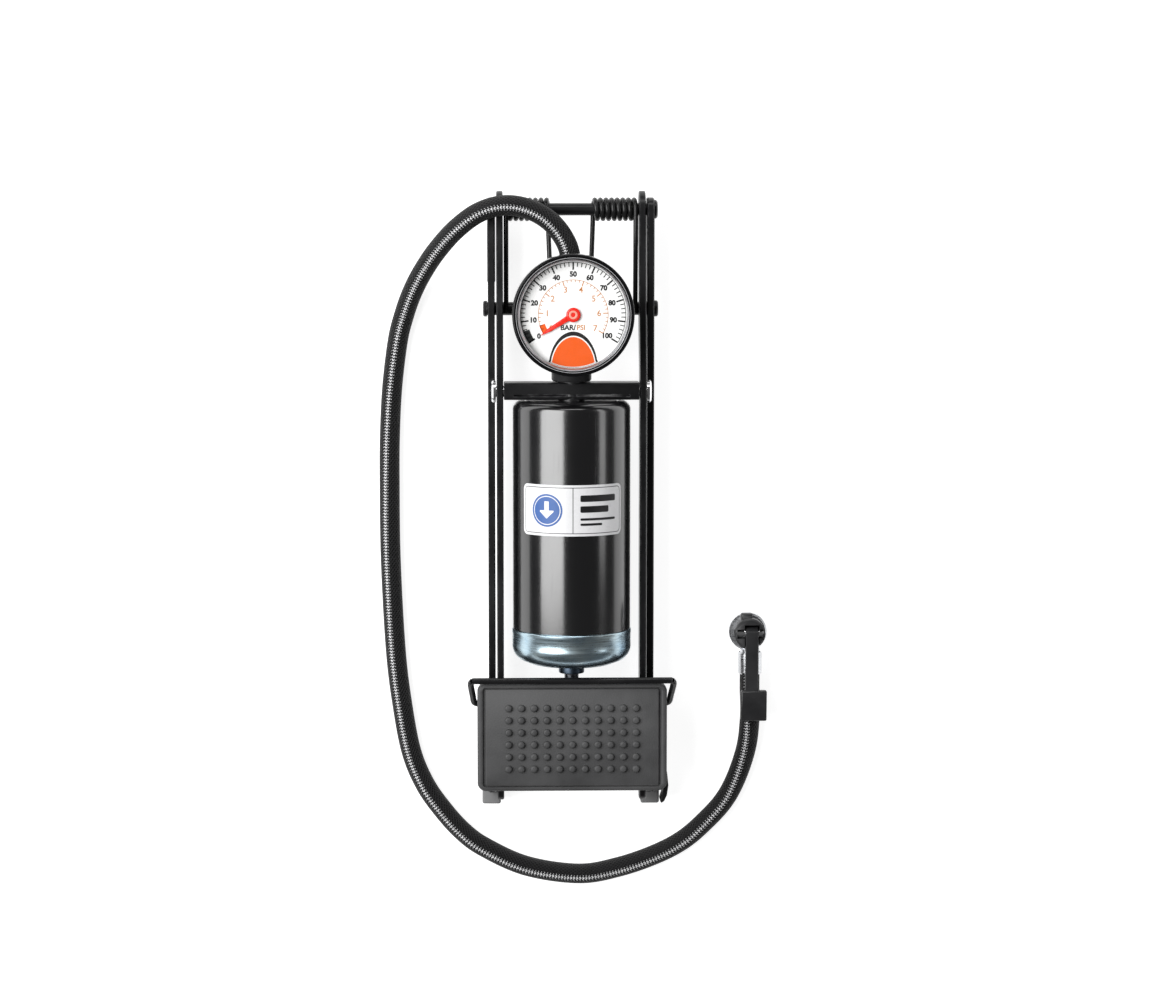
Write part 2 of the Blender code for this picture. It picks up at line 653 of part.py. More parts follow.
def make_piston():
    """Rod, disc, cup seal and nut inside the barrel, and the rod's flat eye at the other end."""
    stem = 2.4
    shaft = [(0, -86.6), (3.0, -86.6), (3.35, -86.2), (3.35, 22.8), (stem, 22.8), (stem, 36.8)]
    shaft += [(2.0, 37.2), (0, 37.2)]
    thing("piston_rod", turned(shaft, "Y", AXIS, 28), "piston", "rod_steel")
    hole = stem + 0.1
    disc = [(hole, 23.1), (21.0, 23.1), (22.0, 24.0), (22.0, 26.4), (hole, 26.4)]
    thing("piston_disc", turned(disc, "Y", AXIS, 36), "piston", "cap_zinc")
    cup = [(hole, 26.7), (23.0, 26.7), (25.0, 28.2), (25.65, 31.0), (25.65, 34.6), (24.4, 34.6), (23.6, 31.0)]
    cup += [(22.4, 29.2), (hole, 29.2)]
    thing("piston_cup", turned(cup, "Y", AXIS, 40), "piston", "seal_rubber")
    thread = 2.9
    nut = [(thread, 29.5), (5.0, 29.5), (5.4, 30.0), (5.4, 33.2), (5.0, 33.8), (thread, 33.8)]
    thing("piston_nut", turned(nut, "Y", AXIS, 6), "piston", "zinc_plate")
    tongue = arc(FOOT_PIN, 5.2, 50, 310, 18) + [(-87.2, 27.6), (-87.2, 33.4)]
    eye = thing("rod_end", eased(pressed(tongue, "X", -3.9, 3.9), 0.3, 1, 60.0), "piston", "rod_steel")
    cut(eye, cross_rod(FOOT_PIN, 2.9, -6, 6, 28))


# ---------------------------------------------------------------- hose

UPPER_ROUTE = [
    (0.0, 100.2, 30.5), (0.0, 107.0, 30.5), (-2.2, 117.0, 30.7), (-9.0, 126.6, 31.0), (-19.0, 132.8, 31.2),
    (-30.7, 134.8, 31.2), (-42.5, 131.6, 29.6), (-53.4, 123.6, 24.8), (-62.6, 113.2, 18.2), (-69.6, 102.6, 12.2),
]
LOWER_ROUTE = [
    (-69.6, 102.6, 12.2), (-74.6, 92.6, 8.2), (-78.4, 81.8, 5.7), (-81.2, 70.4, 4.9), (-83.9, 48.9, 4.8),
    (-85.1, 27.0, 4.8), (-85.4, 4.8, 4.8), (-85.1, -33.4, 4.8), (-83.0, -76.6, 4.8), (-80.0, -103.0, 4.8),
    (-75.8, -125.8, 4.8), (-69.4, -141.6, 4.8), (-61.2, -153.7, 4.8), (-51.8, -164.4, 4.8), (-41.2, -172.4, 4.8),
    (-21.1, -181.7, 4.8), (3.8, -185.6, 4.8), (22.8, -182.6, 4.8), (41.4, -176.2, 4.8), (55.0, -168.8, 4.8),
    (66.2, -158.8, 4.8), (73.4, -150.6, 4.8), (78.2, -142.2, 4.9), (82.2, -131.6, 5.4), (84.8, -120.6, 6.4),
    (85.7, -107.0, 8.0), (85.4, -96.0, 8.6), (85.4, -86.4, 8.6),
]


def thinned(points, spacing):
    """Every so many of the points, so that they lie about one spacing apart, with both ends kept."""
    length = sum((b - a).length for a, b in zip(points, points[1:]))
    count = max(2, round(length / spacing))
    return [points[round(i * (len(points) - 1) / count)] for i in range(count + 1)]


def make_hose():
    """One hose in two tubes that meet end to end where it comes down beside the main hinge."""
    whole = smooth_path(UPPER_ROUTE + LOWER_ROUTE[1:], 0.5)
    seam_at = Vector(LOWER_ROUTE[0])
    seam = min(range(len(whole)), key=lambda i: (whole[i] - seam_at).length)
    upper = thinned(whole[: seam + 1], 8.0)
    lower = thinned(whole[seam:], 10.0)
    way = (upper[-1] - upper[-2]).normalized()
    lower[:1] = [upper[-1] + way * 0.25, upper[-1] + way * 2.5]
    wire("hose_upper", upper, HOSE_RADIUS, "cylinder", "hose_braid", 4)
    wire("hose_lower", lower, HOSE_RADIUS, "base", "hose_braid", 4)


# ---------------------------------------------------------------- tyre chuck

def make_chuck():
    """The chuck's body, which stands on its mouth, with its neck, ferrule, seal and cross pin."""
    neck_at = (CHUCK_NECK[0], 0.0, CHUCK_NECK[1])
    mouth_at = (*CHUCK, 0.0)
    hole = HOSE_RADIUS + 0.3
    ferrule = [(hole, -88.0), (5.5, -88.0), (5.7, -87.4), (5.7, -78.2), (5.4, -77.6), (hole, -77.6)]
    thing("chuck_ferrule", turned(ferrule, "Y", neck_at, 28), "base", "zinc_plate")
    wall = [(0, 0.8), (8.2, 0.8), (9.0, 1.6), (9.0, 11.0), (8.2, 11.8), (0, 11.8)]
    body = thing("chuck_body", turned(wall, "Z", (*CHUCK_BODY, 0.0), 30), "base", "zinc_plate")
    neck = [(0, -86.0), (4.6, -86.0), (4.6, -76.2), (4.2, -76.0), (3.0, -76.0), (3.0, -70.0), (0, -70.0)]
    added(body, turned(neck, "Y", neck_at, 24))
    cut(
        body,
        rod("Z", mouth_at, 5.2, -1.0, 9.0, 28),
        rod("Y", neck_at, 1.6, -90.0, CHUCK[1], 14),
        rod("Z", mouth_at, 0.9, 8.0, 12.6, 12),
    )
    seal = [(3.8, 1.4), (4.2, 1.2), (4.9, 1.2), (4.9, 7.4), (4.2, 7.4), (3.8, 7.0)]
    thing("chuck_seal", turned(seal, "Z", mouth_at, 28), "base", "seal_rubber")
    pin = rod("X", (0.0, *LEVER_PIN[1:]), 2.05, 77.9, 91.6)
    thing("chuck_pin", pin, "base", "chrome")


def make_chuck_cap():
    """The round black cap, slotted for the lever and for its pin, with a lug behind."""
    top = [(0, 12.1), (7.3, 12.1), (7.3, 18.6), (6.5, 19.4), (0, 19.4)]
    cap = thing("chuck_cap", turned(top, "Z", (*CHUCK, 0.0), 30), "base", "black_plastic")
    added(cap, eased(block((80.6, 86.2), (-63.0, -58.2), (12.1, 16.4)), 0.8))
    cut(
        cap,
        block((82.2, 89.3), (-80.0, -63.4), (12.9, 25.0)),
        block((78.7, 90.9), (-69.85, -65.35), (LEVER_PIN[2], 25.0)),
        rod("X", (0.0, *LEVER_PIN[1:]), 2.15, 70, 100),
    )


def make_chuck_lever():
    """The lever that lies along the neck, round where it turns, with a square thumb tab."""
    hub = arc(LEVER_PIN[1:], 3.1, 50, -100, 10)
    under = [(-74.4, 15.8), (-94.6, 15.8), (-109.3, 15.0)]
    over = [(-109.3, 18.0), (-94.6, 19.3), (-77.0, 19.3), (-76.2, 20.0), (-66.7, 20.0), (-66.0, 19.4)]
    stem = eased(pressed(hub + under + over, "X", 82.7, 88.8), 0.4, 1, 60.0)
    lever = thing("chuck_lever", stem, "lever", "black_plastic")
    tab = pressed([(-94.8, 15.5), (-109.5, 14.7), (-109.5, 18.3), (-94.8, 19.6)], "X", 80.6, 92.9)
    added(lever, eased(tab, 0.7))
    cut(lever, rod("X", (0.0, *LEVER_PIN[1:]), 2.15, 70, 100))


for old in list(bpy.data.objects):
    bpy.data.objects.remove(old)

make_rails()
make_cross_rods()
make_anchor()
make_feet()
make_toe()
make_spring()
make_arms()
make_pedal_plate()
make_pad()
make_bail()
make_yoke()
make_barrel()
make_cap()
make_manifold()
make_gauge()
make_needle()
make_piston()
make_hose()
make_chuck()
make_chuck_cap()
make_chuck_lever()
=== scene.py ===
"""Foot air pump, folded flat: its looks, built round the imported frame.

Everything is in metres, with +Z up and +Y towards the main hinge. Outlines are in millimetres.
"""

import json
import math

import bmesh
import bpy
from mathutils import Matrix, Vector


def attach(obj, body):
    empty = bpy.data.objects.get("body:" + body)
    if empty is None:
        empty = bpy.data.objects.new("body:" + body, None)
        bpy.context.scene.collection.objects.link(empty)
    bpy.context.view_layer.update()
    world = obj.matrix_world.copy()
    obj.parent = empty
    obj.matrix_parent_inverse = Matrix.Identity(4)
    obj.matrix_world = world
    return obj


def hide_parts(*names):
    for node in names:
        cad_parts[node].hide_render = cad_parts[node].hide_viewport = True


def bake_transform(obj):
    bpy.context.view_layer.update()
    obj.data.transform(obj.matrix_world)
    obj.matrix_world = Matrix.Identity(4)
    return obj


MM = 0.001
UP = Vector((0.0, 0.0, 1.0))

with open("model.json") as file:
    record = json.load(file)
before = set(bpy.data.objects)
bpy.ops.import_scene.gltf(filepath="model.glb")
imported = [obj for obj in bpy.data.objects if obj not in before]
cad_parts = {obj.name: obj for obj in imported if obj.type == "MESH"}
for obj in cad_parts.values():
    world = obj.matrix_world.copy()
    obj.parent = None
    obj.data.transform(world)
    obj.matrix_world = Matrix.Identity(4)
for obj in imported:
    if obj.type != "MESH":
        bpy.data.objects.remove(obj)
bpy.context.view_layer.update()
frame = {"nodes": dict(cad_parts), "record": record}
nodes = frame["nodes"]
scene = bpy.context.scene


# ---------------------------------------------------------------- camera

CAMERA_TARGET = Vector((1.6, 1.9, 32.0)) * MM
CAMERA_DISTANCE = 1.593
CAMERA_LEAN_X = math.radians(-1.5)
CAMERA_LEAN_Y = math.radians(6.5)
CAMERA_LENS = 107.0
CAMERA_SENSOR = 36.0


def make_camera():
    """Looks down on the lying pump, from slightly towards the hinge, with +Y up in the picture."""
    data = bpy.data.cameras.new("camera")
    data.lens = CAMERA_LENS
    data.sensor_width = CAMERA_SENSOR
    data.clip_start = 0.05
    data.clip_end = 20.0
    camera = bpy.data.objects.new("camera", data)
    scene.collection.objects.link(camera)
    away = Vector((math.tan(CAMERA_LEAN_X), math.tan(CAMERA_LEAN_Y), 1.0)).normalized()
    camera.location = CAMERA_TARGET + away * CAMERA_DISTANCE
    side = Vector((0.0, 1.0, 0.0)).cross(away).normalized()
    top = away.cross(side).normalized()
    camera.rotation_mode = "QUATERNION"
    camera.rotation_quaternion = Matrix((side, top, away)).transposed().to_quaternion()
    scene.camera = camera


make_camera()


# ---------------------------------------------------------------- node materials

EDGE_TURN = 0.65  # cosine between the rounded and the flat normal where an edge is fully worn


def socket_of(node, name, kind="inputs"):
    """The enabled one of the sockets that share a name."""
    return next(s for s in getattr(node, kind) if s.name == name and s.enabled)


class Finish:
    """A Principled material and short calls that add the nodes that vary it."""

    def __init__(self, name, color, roughness, metallic=0.0, **values):
        self.material = bpy.data.materials.new(name)
        self.material.use_nodes = True
        self.tree = self.material.node_tree
        self.shader = self.tree.nodes["Principled BSDF"]
        self.shader.inputs["Base Color"].default_value = (*color, 1.0)
        self.shader.inputs["Roughness"].default_value = roughness
        self.shader.inputs["Metallic"].default_value = metallic
        for key, value in values.items():
            self.shader.inputs[key.replace("_", " ")].default_value = value
        self.height = None

    def add(self, kind, **values):
        node = self.tree.nodes.new("ShaderNode" + kind)
        for key, value in values.items():
            if hasattr(node, key):
                setattr(node, key, value)
            else:
                node.inputs[key.replace("_", " ")].default_value = value
        return node

    def link(self, out, into):
        self.tree.links.new(out, into)
        return out

    def place(self, stretch=(1.0, 1.0, 1.0), uv=False):
        """Object coordinates, or UVs, scaled along each axis."""
        where = self.add("TexCoord")
        mapping = self.add("Mapping")
        mapping.inputs["Scale"].default_value = stretch
        self.link(where.outputs["UV" if uv else "Object"], mapping.inputs["Vector"])
        return mapping.outputs["Vector"]

    def noise(self, scale, detail=3.0, stretch=(1.0, 1.0, 1.0)):
        node = self.add("TexNoise", Scale=scale, Detail=detail, Roughness=0.55)
        self.link(self.place(stretch), node.inputs["Vector"])
        return node.outputs["Fac"]

    def spread(self, value, low, high, to_low, to_high):
        """Maps a value's range onto another, clamped."""
        node = self.add("MapRange", clamp=True)
        ends = {"From Min": low, "From Max": high, "To Min": to_low, "To Max": to_high}
        for name, number in ends.items():
            node.inputs[name].default_value = number
        self.link(value, node.inputs["Value"])
        return node.outputs["Result"]

    def math(self, operation, a, b=0.0):
        node = self.add("Math", operation=operation)
        for socket, value in zip(node.inputs, (a, b)):
            if hasattr(value, "node"):
                self.link(value, socket)
            else:
                socket.default_value = value
        return node.outputs["Value"]

    def mixed(self, share, a, b):
        """A colour between a and b, each a colour or a socket."""
        node = self.add("Mix", data_type="RGBA")
        self.link(share, socket_of(node, "Factor"))
        for name, value in (("A", a), ("B", b)):
            socket = socket_of(node, name)
            if hasattr(value, "node"):
                self.link(value, socket)
            else:
                socket.default_value = (*value, 1.0)
        return socket_of(node, "Result", "outputs")

    def set(self, name, value):
        self.link(value, self.shader.inputs[name])

    def bump(self, height, distance):
        """Adds relief; each call stacks on the one before. Distance is in metres."""
        node = self.add("Bump", Strength=1.0, Distance=distance)
        self.link(height, node.inputs["Height"])
        if self.height is not None:
            self.link(self.height, node.inputs["Normal"])
        self.height = node.outputs["Normal"]
        self.link(self.height, self.shader.inputs["Normal"])

    def edges(self, radius):
        """1 along edges and corners and 0 on flats, broken up by noise."""
        rounded = self.add("Bevel", samples=4, Radius=radius)
        flat = self.add("NewGeometry")
        turn = self.add("VectorMath", operation="DOT_PRODUCT")
        self.link(rounded.outputs["Normal"], turn.inputs[0])
        self.link(flat.outputs["Normal"], turn.inputs[1])
        edge = self.spread(turn.outputs["Value"], 1.0, EDGE_TURN, 0.0, 1.0)
        patchy = self.spread(self.noise(420.0, 4.0), 0.42, 0.66, 0.0, 1.0)
        return self.math("MULTIPLY", edge, patchy)


def coated(name, color, roughness, grain, worn=(0.2, 0.2, 0.21)):
    """Painted steel: a fine orange peel, uneven gloss and paint rubbed thin along the edges."""
    finish = Finish(name, color, roughness, Specular_IOR_Level=0.28)
    cloud = finish.noise(38.0, 4.0)
    peel = finish.noise(2600.0, 2.0)
    rub = finish.edges(0.0007)
    pale = [c * 1.6 + 0.002 for c in color]
    faded = finish.mixed(finish.spread(cloud, 0.3, 0.7, 0.0, 1.0), color, pale)
    finish.set("Base Color", finish.mixed(finish.math("MULTIPLY", rub, 0.55), faded, worn))
    finish.set("Roughness", finish.spread(cloud, 0.3, 0.7, roughness - 0.07, roughness + 0.1))
    finish.bump(peel, grain)
    return finish.material


def enamel(name, roughness, specular, coat):
    """Gloss black, with a faint orange peel and fine rub marks along it."""
    finish = Finish(
        name, (0.004, 0.004, 0.0045), roughness, Specular_IOR_Level=specular, Coat_Weight=coat,
        Coat_Roughness=0.12,
    )
    rub = finish.noise(900.0, 3.0, (1.0, 0.03, 1.0))
    cloud = finish.noise(22.0, 3.0)
    base = finish.spread(cloud, 0.3, 0.7, roughness, roughness + 0.09)
    marks = finish.spread(rub, 0.62, 0.78, 0.0, 0.12)
    finish.set("Roughness", finish.math("ADD", base, marks))
    finish.bump(finish.noise(650.0, 2.0), 0.000012)
    return finish.material


def plated(name, color, roughness, stretch, blotch, warm=None):
    """Zinc or chrome plate over turned steel: fine tool lines, clouding and a faint change of tint."""
    finish = Finish(name, color, roughness, metallic=1.0)
    lines = finish.noise(1500.0, 3.0, stretch)
    cloud = finish.noise(60.0, 5.0)
    tint = finish.spread(cloud, 0.35, 0.68, 0.0, 1.0)
    finish.set("Base Color", finish.mixed(tint, color, warm or [c * blotch for c in color]))
    shine = finish.spread(lines, 0.3, 0.7, roughness - 0.05, roughness + 0.09)
    finish.set("Roughness", finish.math("ADD", shine, finish.spread(cloud, 0.3, 0.7, 0.0, 0.08)))
    finish.bump(lines, 0.000003)
    return finish.material


def moulded(name, color, roughness, grain, depth, dusty=0.0):
    """Rubber or plastic from a mould: a pebbled grain, uneven gloss and a slightly paler mottle."""
    finish = Finish(name, color, roughness, Specular_IOR_Level=0.42)
    cloud = finish.noise(55.0, 5.0)
    pale = [c * 1.35 + 0.006 + dusty for c in color]
    finish.set("Base Color", finish.mixed(finish.spread(cloud, 0.34, 0.7, 0.0, 1.0), color, pale))
    finish.set("Roughness", finish.spread(cloud, 0.3, 0.7, roughness - 0.06, roughness + 0.1))
    finish.bump(finish.noise(grain, 3.0), depth)
    return finish.material


def clear_lens(name):
    """Clear plastic: see-through when faced, with a reflection that grows towards its rim."""
    finish = Finish(name, (0.0, 0.0, 0.0), 0.04, Specular_IOR_Level=0.5)
    facing = finish.add("LayerWeight", Blend=0.5)
    smear = finish.spread(finish.noise(70.0, 4.0), 0.4, 0.75, 0.0, 0.01)
    gloss = finish.spread(facing.outputs["Facing"], 0.5, 1.0, 0.012, 0.5)
    finish.set("Alpha", finish.math("ADD", gloss, smear))
    finish.set("Roughness", finish.spread(finish.noise(90.0, 3.0), 0.3, 0.7, 0.02, 0.07))
    finish.material.surface_render_method = "BLENDED"
    return finish.material


def printed(name, color, roughness=0.45, speckle=0.06):
    """Ink or card: nearly even, with the slight mottle of print."""
    finish = Finish(name, color, roughness)
    mottle = finish.spread(finish.noise(1900.0, 3.0), 0.35, 0.65, 0.0, 1.0)
    finish.set("Base Color", finish.mixed(mottle, color, [c * (1.0 - speckle) for c in color]))
    patchy = finish.noise(300.0, 2.0)
    finish.set("Roughness", finish.spread(patchy, 0.3, 0.7, roughness - 0.05, roughness + 0.07))
    finish.bump(finish.noise(2400.0, 2.0), 0.000004)
    return finish.material


BRAID_STRANDS = 20
BRAID_PITCH = 2.0 * MM


def braided(name):
    """Woven black cover. The UVs run once round the hose and along it in metres."""
    finish = Finish(name, (0.01, 0.01, 0.011), 0.55, Specular_IOR_Level=0.17, Sheen_Weight=0.02)
    where = finish.add("SeparateXYZ")
    finish.link(finish.place(uv=True), where.inputs["Vector"])
    around = finish.math("MULTIPLY", where.outputs["X"], 2 * math.pi * BRAID_STRANDS)
    along = finish.math("MULTIPLY", where.outputs["Y"], 2 * math.pi / BRAID_PITCH)
    one = finish.math("SINE", finish.math("ADD", around, along))
    other = finish.math("SINE", finish.math("SUBTRACT", around, along))
    weave = finish.math("MAXIMUM", one, other)
    high = finish.spread(weave, -0.2, 1.0, 0.0, 1.0)
    fray = finish.noise(1400.0, 4.0)
    # Painted shade: the crests of the weave are coloured lighter and the gaps between strands darker, as
    # light and shade would make them.
    lit = finish.math("MULTIPLY", high, finish.spread(fray, 0.3, 0.7, 0.55, 1.0))
    finish.set("Base Color", finish.mixed(lit, (0.0015, 0.0015, 0.0015), (0.02, 0.02, 0.021)))
    finish.set("Roughness", finish.spread(fray, 0.3, 0.7, 0.44, 0.66))
    finish.bump(high, 0.00028)
    finish.bump(fray, 0.00003)
    return finish.material


def thread(name):
    """The pale marker thread stitched into the cover."""
    finish = Finish(name, (0.42, 0.42, 0.43), 0.6, Sheen_Weight=0.2)
    twist = finish.noise(2600.0, 3.0, (1.0, 0.4, 1.0))
    share = finish.spread(twist, 0.35, 0.65, 0.0, 1.0)
    finish.set("Base Color", finish.mixed(share, (0.4, 0.4, 0.41), (0.78, 0.78, 0.79)))
    finish.bump(twist, 0.00004)
    return finish.material


AROUND_Y = (0.04, 1.0, 0.04)  # tool lines that run round the Y axis

frame_black = coated("frame_black", (0.0045, 0.0045, 0.005), 0.3, 0.00002)
spring_black = coated("spring_black", (0.006, 0.006, 0.006), 0.2, 0.000012)
wire_black = coated("wire_black", (0.006, 0.006, 0.0065), 0.2, 0.000012)
barrel_enamel = enamel("barrel_enamel", 0.17, 0.75, 0.6)
cap_zinc = plated("cap_zinc", (0.33, 0.48, 0.6), 0.23, AROUND_Y, 0.82, (0.56, 0.67, 0.7))
zinc_plate = plated("zinc_plate", (0.66, 0.67, 0.69), 0.2, AROUND_Y, 0.9)
chrome = plated("chrome", (0.84, 0.84, 0.85), 0.1, (0.05, 1.0, 1.0), 0.95)
# Steel darkened well below its bare colour: partly the rod's own steel, partly painted shade for the
# stretch of rod that lies in shadow.
rod_steel = plated("rod_steel", (0.2, 0.21, 0.23), 0.24, AROUND_Y, 0.85)
collar_steel = plated("collar_steel", (0.09, 0.12, 0.16), 0.3, AROUND_Y, 0.8)
foot_rubber = moulded("foot_rubber", (0.18, 0.18, 0.182), 0.6, 1500.0, 0.00006, 0.012)
pad_rubber = moulded("pad_rubber", (0.042, 0.042, 0.043), 0.58, 1500.0, 0.0001, 0.002)
seal_rubber = moulded("seal_rubber", (0.012, 0.012, 0.012), 0.6, 1500.0, 0.00003)
black_plastic = moulded("black_plastic", (0.013, 0.013, 0.014), 0.38, 2100.0, 0.00003)
bezel_gloss = enamel("bezel_gloss", 0.06, 0.14, 0.0)
lens_clear = clear_lens("lens_clear")
dial_white = printed("dial_white", (0.95, 0.95, 0.94), 0.42, 0.02)
ink_black = printed("ink_black", (0.004, 0.004, 0.0045))
ink_amber = printed("ink_amber", (0.58, 0.24, 0.08))
ink_orange = printed("ink_orange", (0.8, 0.1, 0.001))
ink_white = printed("ink_white", (0.9, 0.89, 0.87))
ink_blue = printed("ink_blue", (0.03, 0.1, 0.32))
# Pale grey for the thin ring on the bezel's top: a painted highlight, not a part of its own colour.
painted_highlight_grey = printed("painted_highlight_grey", (0.42, 0.42, 0.43), 0.3)
sticker_white = printed("sticker_white", (0.7, 0.7, 0.71), 0.3)
rim_grey = plated("rim_grey", (0.62, 0.63, 0.65), 0.32, (1.0, 1.0, 0.05), 0.9)
brass = plated("brass", (0.62, 0.43, 0.16), 0.28, (1.0, 1.0, 0.05), 0.85)
needle_red = printed("needle_red", (0.78, 0.025, 0.014), 0.3)
needle_pale = printed("needle_pale", (0.9, 0.34, 0.26), 0.3)
hose_braid = braided("hose_braid")
stripe_thread = thread("stripe_thread")

BY_SLOT = {
    "frame_black": frame_black,
    "spring_black": spring_black,
    "wire_black": wire_black,
    "barrel_gloss_black": barrel_enamel,
    "cap_zinc": cap_zinc,
    "zinc_plate": zinc_plate,
    "chrome": chrome,
    "rod_steel": rod_steel,
    "foot_rubber": foot_rubber,
    "pad_rubber": pad_rubber,
    "seal_rubber": seal_rubber,
    "hose_braid": hose_braid,
    "black_plastic": black_plastic,
    "bezel_gloss": bezel_gloss,
    "lens_clear": lens_clear,
    "dial_white": dial_white,
    "brass": brass,
    "needle_red": needle_red,
}
for subpart in frame["record"]["subparts"]:
    mesh = nodes[subpart["node"]].data
    mesh.materials.clear()
    mesh.materials.append(BY_SLOT[subpart["material_slot"]])


# ---------------------------------------------------------------- mesh helpers

def piece(name, bm, material, body=None, sharp=None):
    """One new object from a mesh in the frame's own coordinates."""
    mesh = bpy.data.meshes.new(name)
    bm.to_mesh(mesh)
    bm.free()
    mesh.materials.append(material)
    mesh.shade_smooth()
    if sharp is not None:
        mesh.set_sharp_from_angle(angle=math.radians(sharp))
    obj = bpy.data.objects.new(name, mesh)
    scene.collection.objects.link(obj)
    if body:
        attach(obj, body)
    return obj


PATH_STEPS = 24  # fine steps between two points of a route


def smooth_path(route, spacing):
    """Points along a smooth curve through the route, about one spacing apart."""
    points = [Vector(p) for p in route]
    ends = [points[0] * 2 - points[1]] + points + [points[-1] * 2 - points[-2]]
    fine = []
    for i in range(1, len(ends) - 2):
        a, b, c, d = ends[i - 1 : i + 3]
        for k in range(PATH_STEPS):
            t = k / PATH_STEPS
            square = (a * 2 - b * 5 + c * 4 - d) * t * t
            cube = (b * 3 - a - c * 3 + d) * t**3
            fine.append((b * 2 + (c - a) * t + square + cube) * 0.5)
    fine.append(points[-1])
    far = [0.0]
    for a, b in zip(fine, fine[1:]):
        far.append(far[-1] + (b - a).length)
    count = max(2, round(far[-1] / spacing))
    out = []
    j = 0
    for i in range(count + 1):
        want = far[-1] * i / count
        while j < len(far) - 2 and far[j + 1] < want:
            j += 1
        part = (want - far[j]) / max(far[j + 1] - far[j], 1e-9)
        out.append(fine[j].lerp(fine[j + 1], min(max(part, 0.0), 1.0)))
    return out


def path_length(points):
    return sum((b - a).length for a, b in zip(points, points[1:]))


def ways_along(points):
    """The direction of the path at each of its points."""
    return [
        (points[min(i + 1, len(points) - 1)] - points[max(i - 1, 0)]).normalized()
        for i in range(len(points))
    ]


def carried_frames(points):
    """A side and a top direction at each point, carried along the path without twisting."""
    ways = ways_along(points)
    side = ways[0].cross(UP if abs(ways[0].z) < 0.9 else Vector((1.0, 0.0, 0.0))).normalized()
    frames = []
    for way in ways:
        side = (side - way * side.dot(way)).normalized()
        frames.append((side, side.cross(way).normalized()))
    return frames


def level_frames(points):
    """As carried_frames, but the top stays as near to straight up as the path allows."""
    frames = []
    for way in ways_along(points):
        side = way.cross(UP).normalized()
        frames.append((side, side.cross(way).normalized()))
    return frames


def swept(points, frames, radius, sides):
    """A round tube along the points, with UVs once round it and in metres along it."""
    bm = bmesh.new()
    layer = bm.loops.layers.uv.new("UVMap")
    rings = []
    far = [0.0]
    for a, b in zip(points, points[1:]):
        far.append(far[-1] + (b - a).length)
    for point, (side, top) in zip(points, frames):
        ring = []
        for i in range(sides):
            turn = 2 * math.pi * i / sides
            out = side * math.sin(turn) + top * math.cos(turn)
            ring.append(bm.verts.new(point + out * radius))
        rings.append(ring)
    for k in range(len(rings) - 1):
        for i in range(sides):
            j = (i + 1) % sides
            face = bm.faces.new((rings[k][i], rings[k + 1][i], rings[k + 1][j], rings[k][j]))
            corners = ((i, k), (i, k + 1), (i + 1, k + 1), (i + 1, k))
            for loop, (around, along) in zip(face.loops, corners):
                loop[layer].uv = (around / sides, far[along])
    bm.faces.new(rings[0])
    bm.faces.new(list(reversed(rings[-1])))
    bmesh.ops.recalc_face_normals(bm, faces=bm.faces)
    return bm


def turned(profile, at, steps, axis="Z"):
    """A solid of revolution from a closed loop of (radius, height), about Z or Y through a point."""
    bm = bmesh.new()
    rings = []
    for radius, height in profile:
        ring = []
        for i in range(1 if radius < 1e-9 else steps):
            turn = 2 * math.pi * i / steps
            a = radius * math.cos(turn)
            b = radius * math.sin(turn)
            offset = Vector((a, b, height)) if axis == "Z" else Vector((a, height, b))
            ring.append(bm.verts.new(Vector(at) + offset))
        rings.append(ring)
    for k in range(len(rings)):
        low = rings[k]
        high = rings[(k + 1) % len(rings)]
        if len(low) == 1 and len(high) == 1:
            continue
        for i in range(steps):
            j = (i + 1) % steps
            if len(low) == 1:
                bm.faces.new((low[0], high[i], high[j]))
            elif len(high) == 1:
                bm.faces.new((low[i], low[j], high[0]))
            else:
                bm.faces.new((low[i], low[j], high[j], high[i]))
    bmesh.ops.recalc_face_normals(bm, faces=bm.faces)
    return bm


# ---------------------------------------------------------------- hose

SHIFT_Y = 4.0
HOSE_RADIUS = 4.75 * MM
UPPER_ROUTE = [
    (0.0, 100.2, 30.5), (0.0, 107.0, 30.5), (-2.2, 117.0, 30.7), (-9.0, 126.6, 31.0),
    (-19.0, 132.8, 31.2), (-30.7, 134.8, 31.2), (-42.5, 131.6, 29.6), (-53.4, 123.6, 24.8),
    (-62.6, 113.2, 18.2), (-69.6, 102.6, 12.2),
]
LOWER_ROUTE = [
    (-69.6, 102.6, 12.2), (-74.6, 92.6, 8.2), (-78.4, 81.8, 5.7), (-81.2, 70.4, 4.9),
    (-83.9, 48.9, 4.8), (-85.1, 27.0, 4.8), (-85.4, 4.8, 4.8), (-85.1, -33.4, 4.8),
    (-83.0, -76.6, 4.8), (-80.0, -103.0, 4.8), (-75.8, -125.8, 4.8), (-69.4, -141.6, 4.8),
    (-61.2, -153.7, 4.8), (-51.8, -164.4, 4.8), (-41.2, -172.4, 4.8), (-21.1, -181.7, 4.8),
    (3.8, -185.6, 4.8), (22.8, -182.6, 4.8), (41.4, -176.2, 4.8), (55.0, -168.8, 4.8),
    (66.2, -158.8, 4.8), (73.4, -150.6, 4.8), (78.2, -142.2, 4.9), (82.2, -131.6, 5.4),
    (84.8, -120.6, 6.4), (85.7, -107.0, 8.0), (85.4, -96.0, 8.6), (85.4, -86.4, 8.6),
]
# (share of the hose's length, lean of its marker stripe in degrees)
STRIPE_TURNS = [(0.0, -24.0), (0.16, 0.0), (0.4, 25.0), (0.78, 17.0), (1.0, -22.0)]
HOSE_STEP = 0.9 * MM
STITCH_PITCH = 1.43 * MM
STITCH_HEIGHT = 0.2 * MM
# Each thread of one stitch, in millimetres: its place across the stripe, its reach across and along the
# hose, and its half width.
STITCHES = [
    (-0.3, 0.34, 0.56, 0.34), (0.32, 0.34, -0.56, 0.34), (-1.2, 0.3, 0.12, 0.17), (1.2, 0.3, 0.26, 0.15),
]
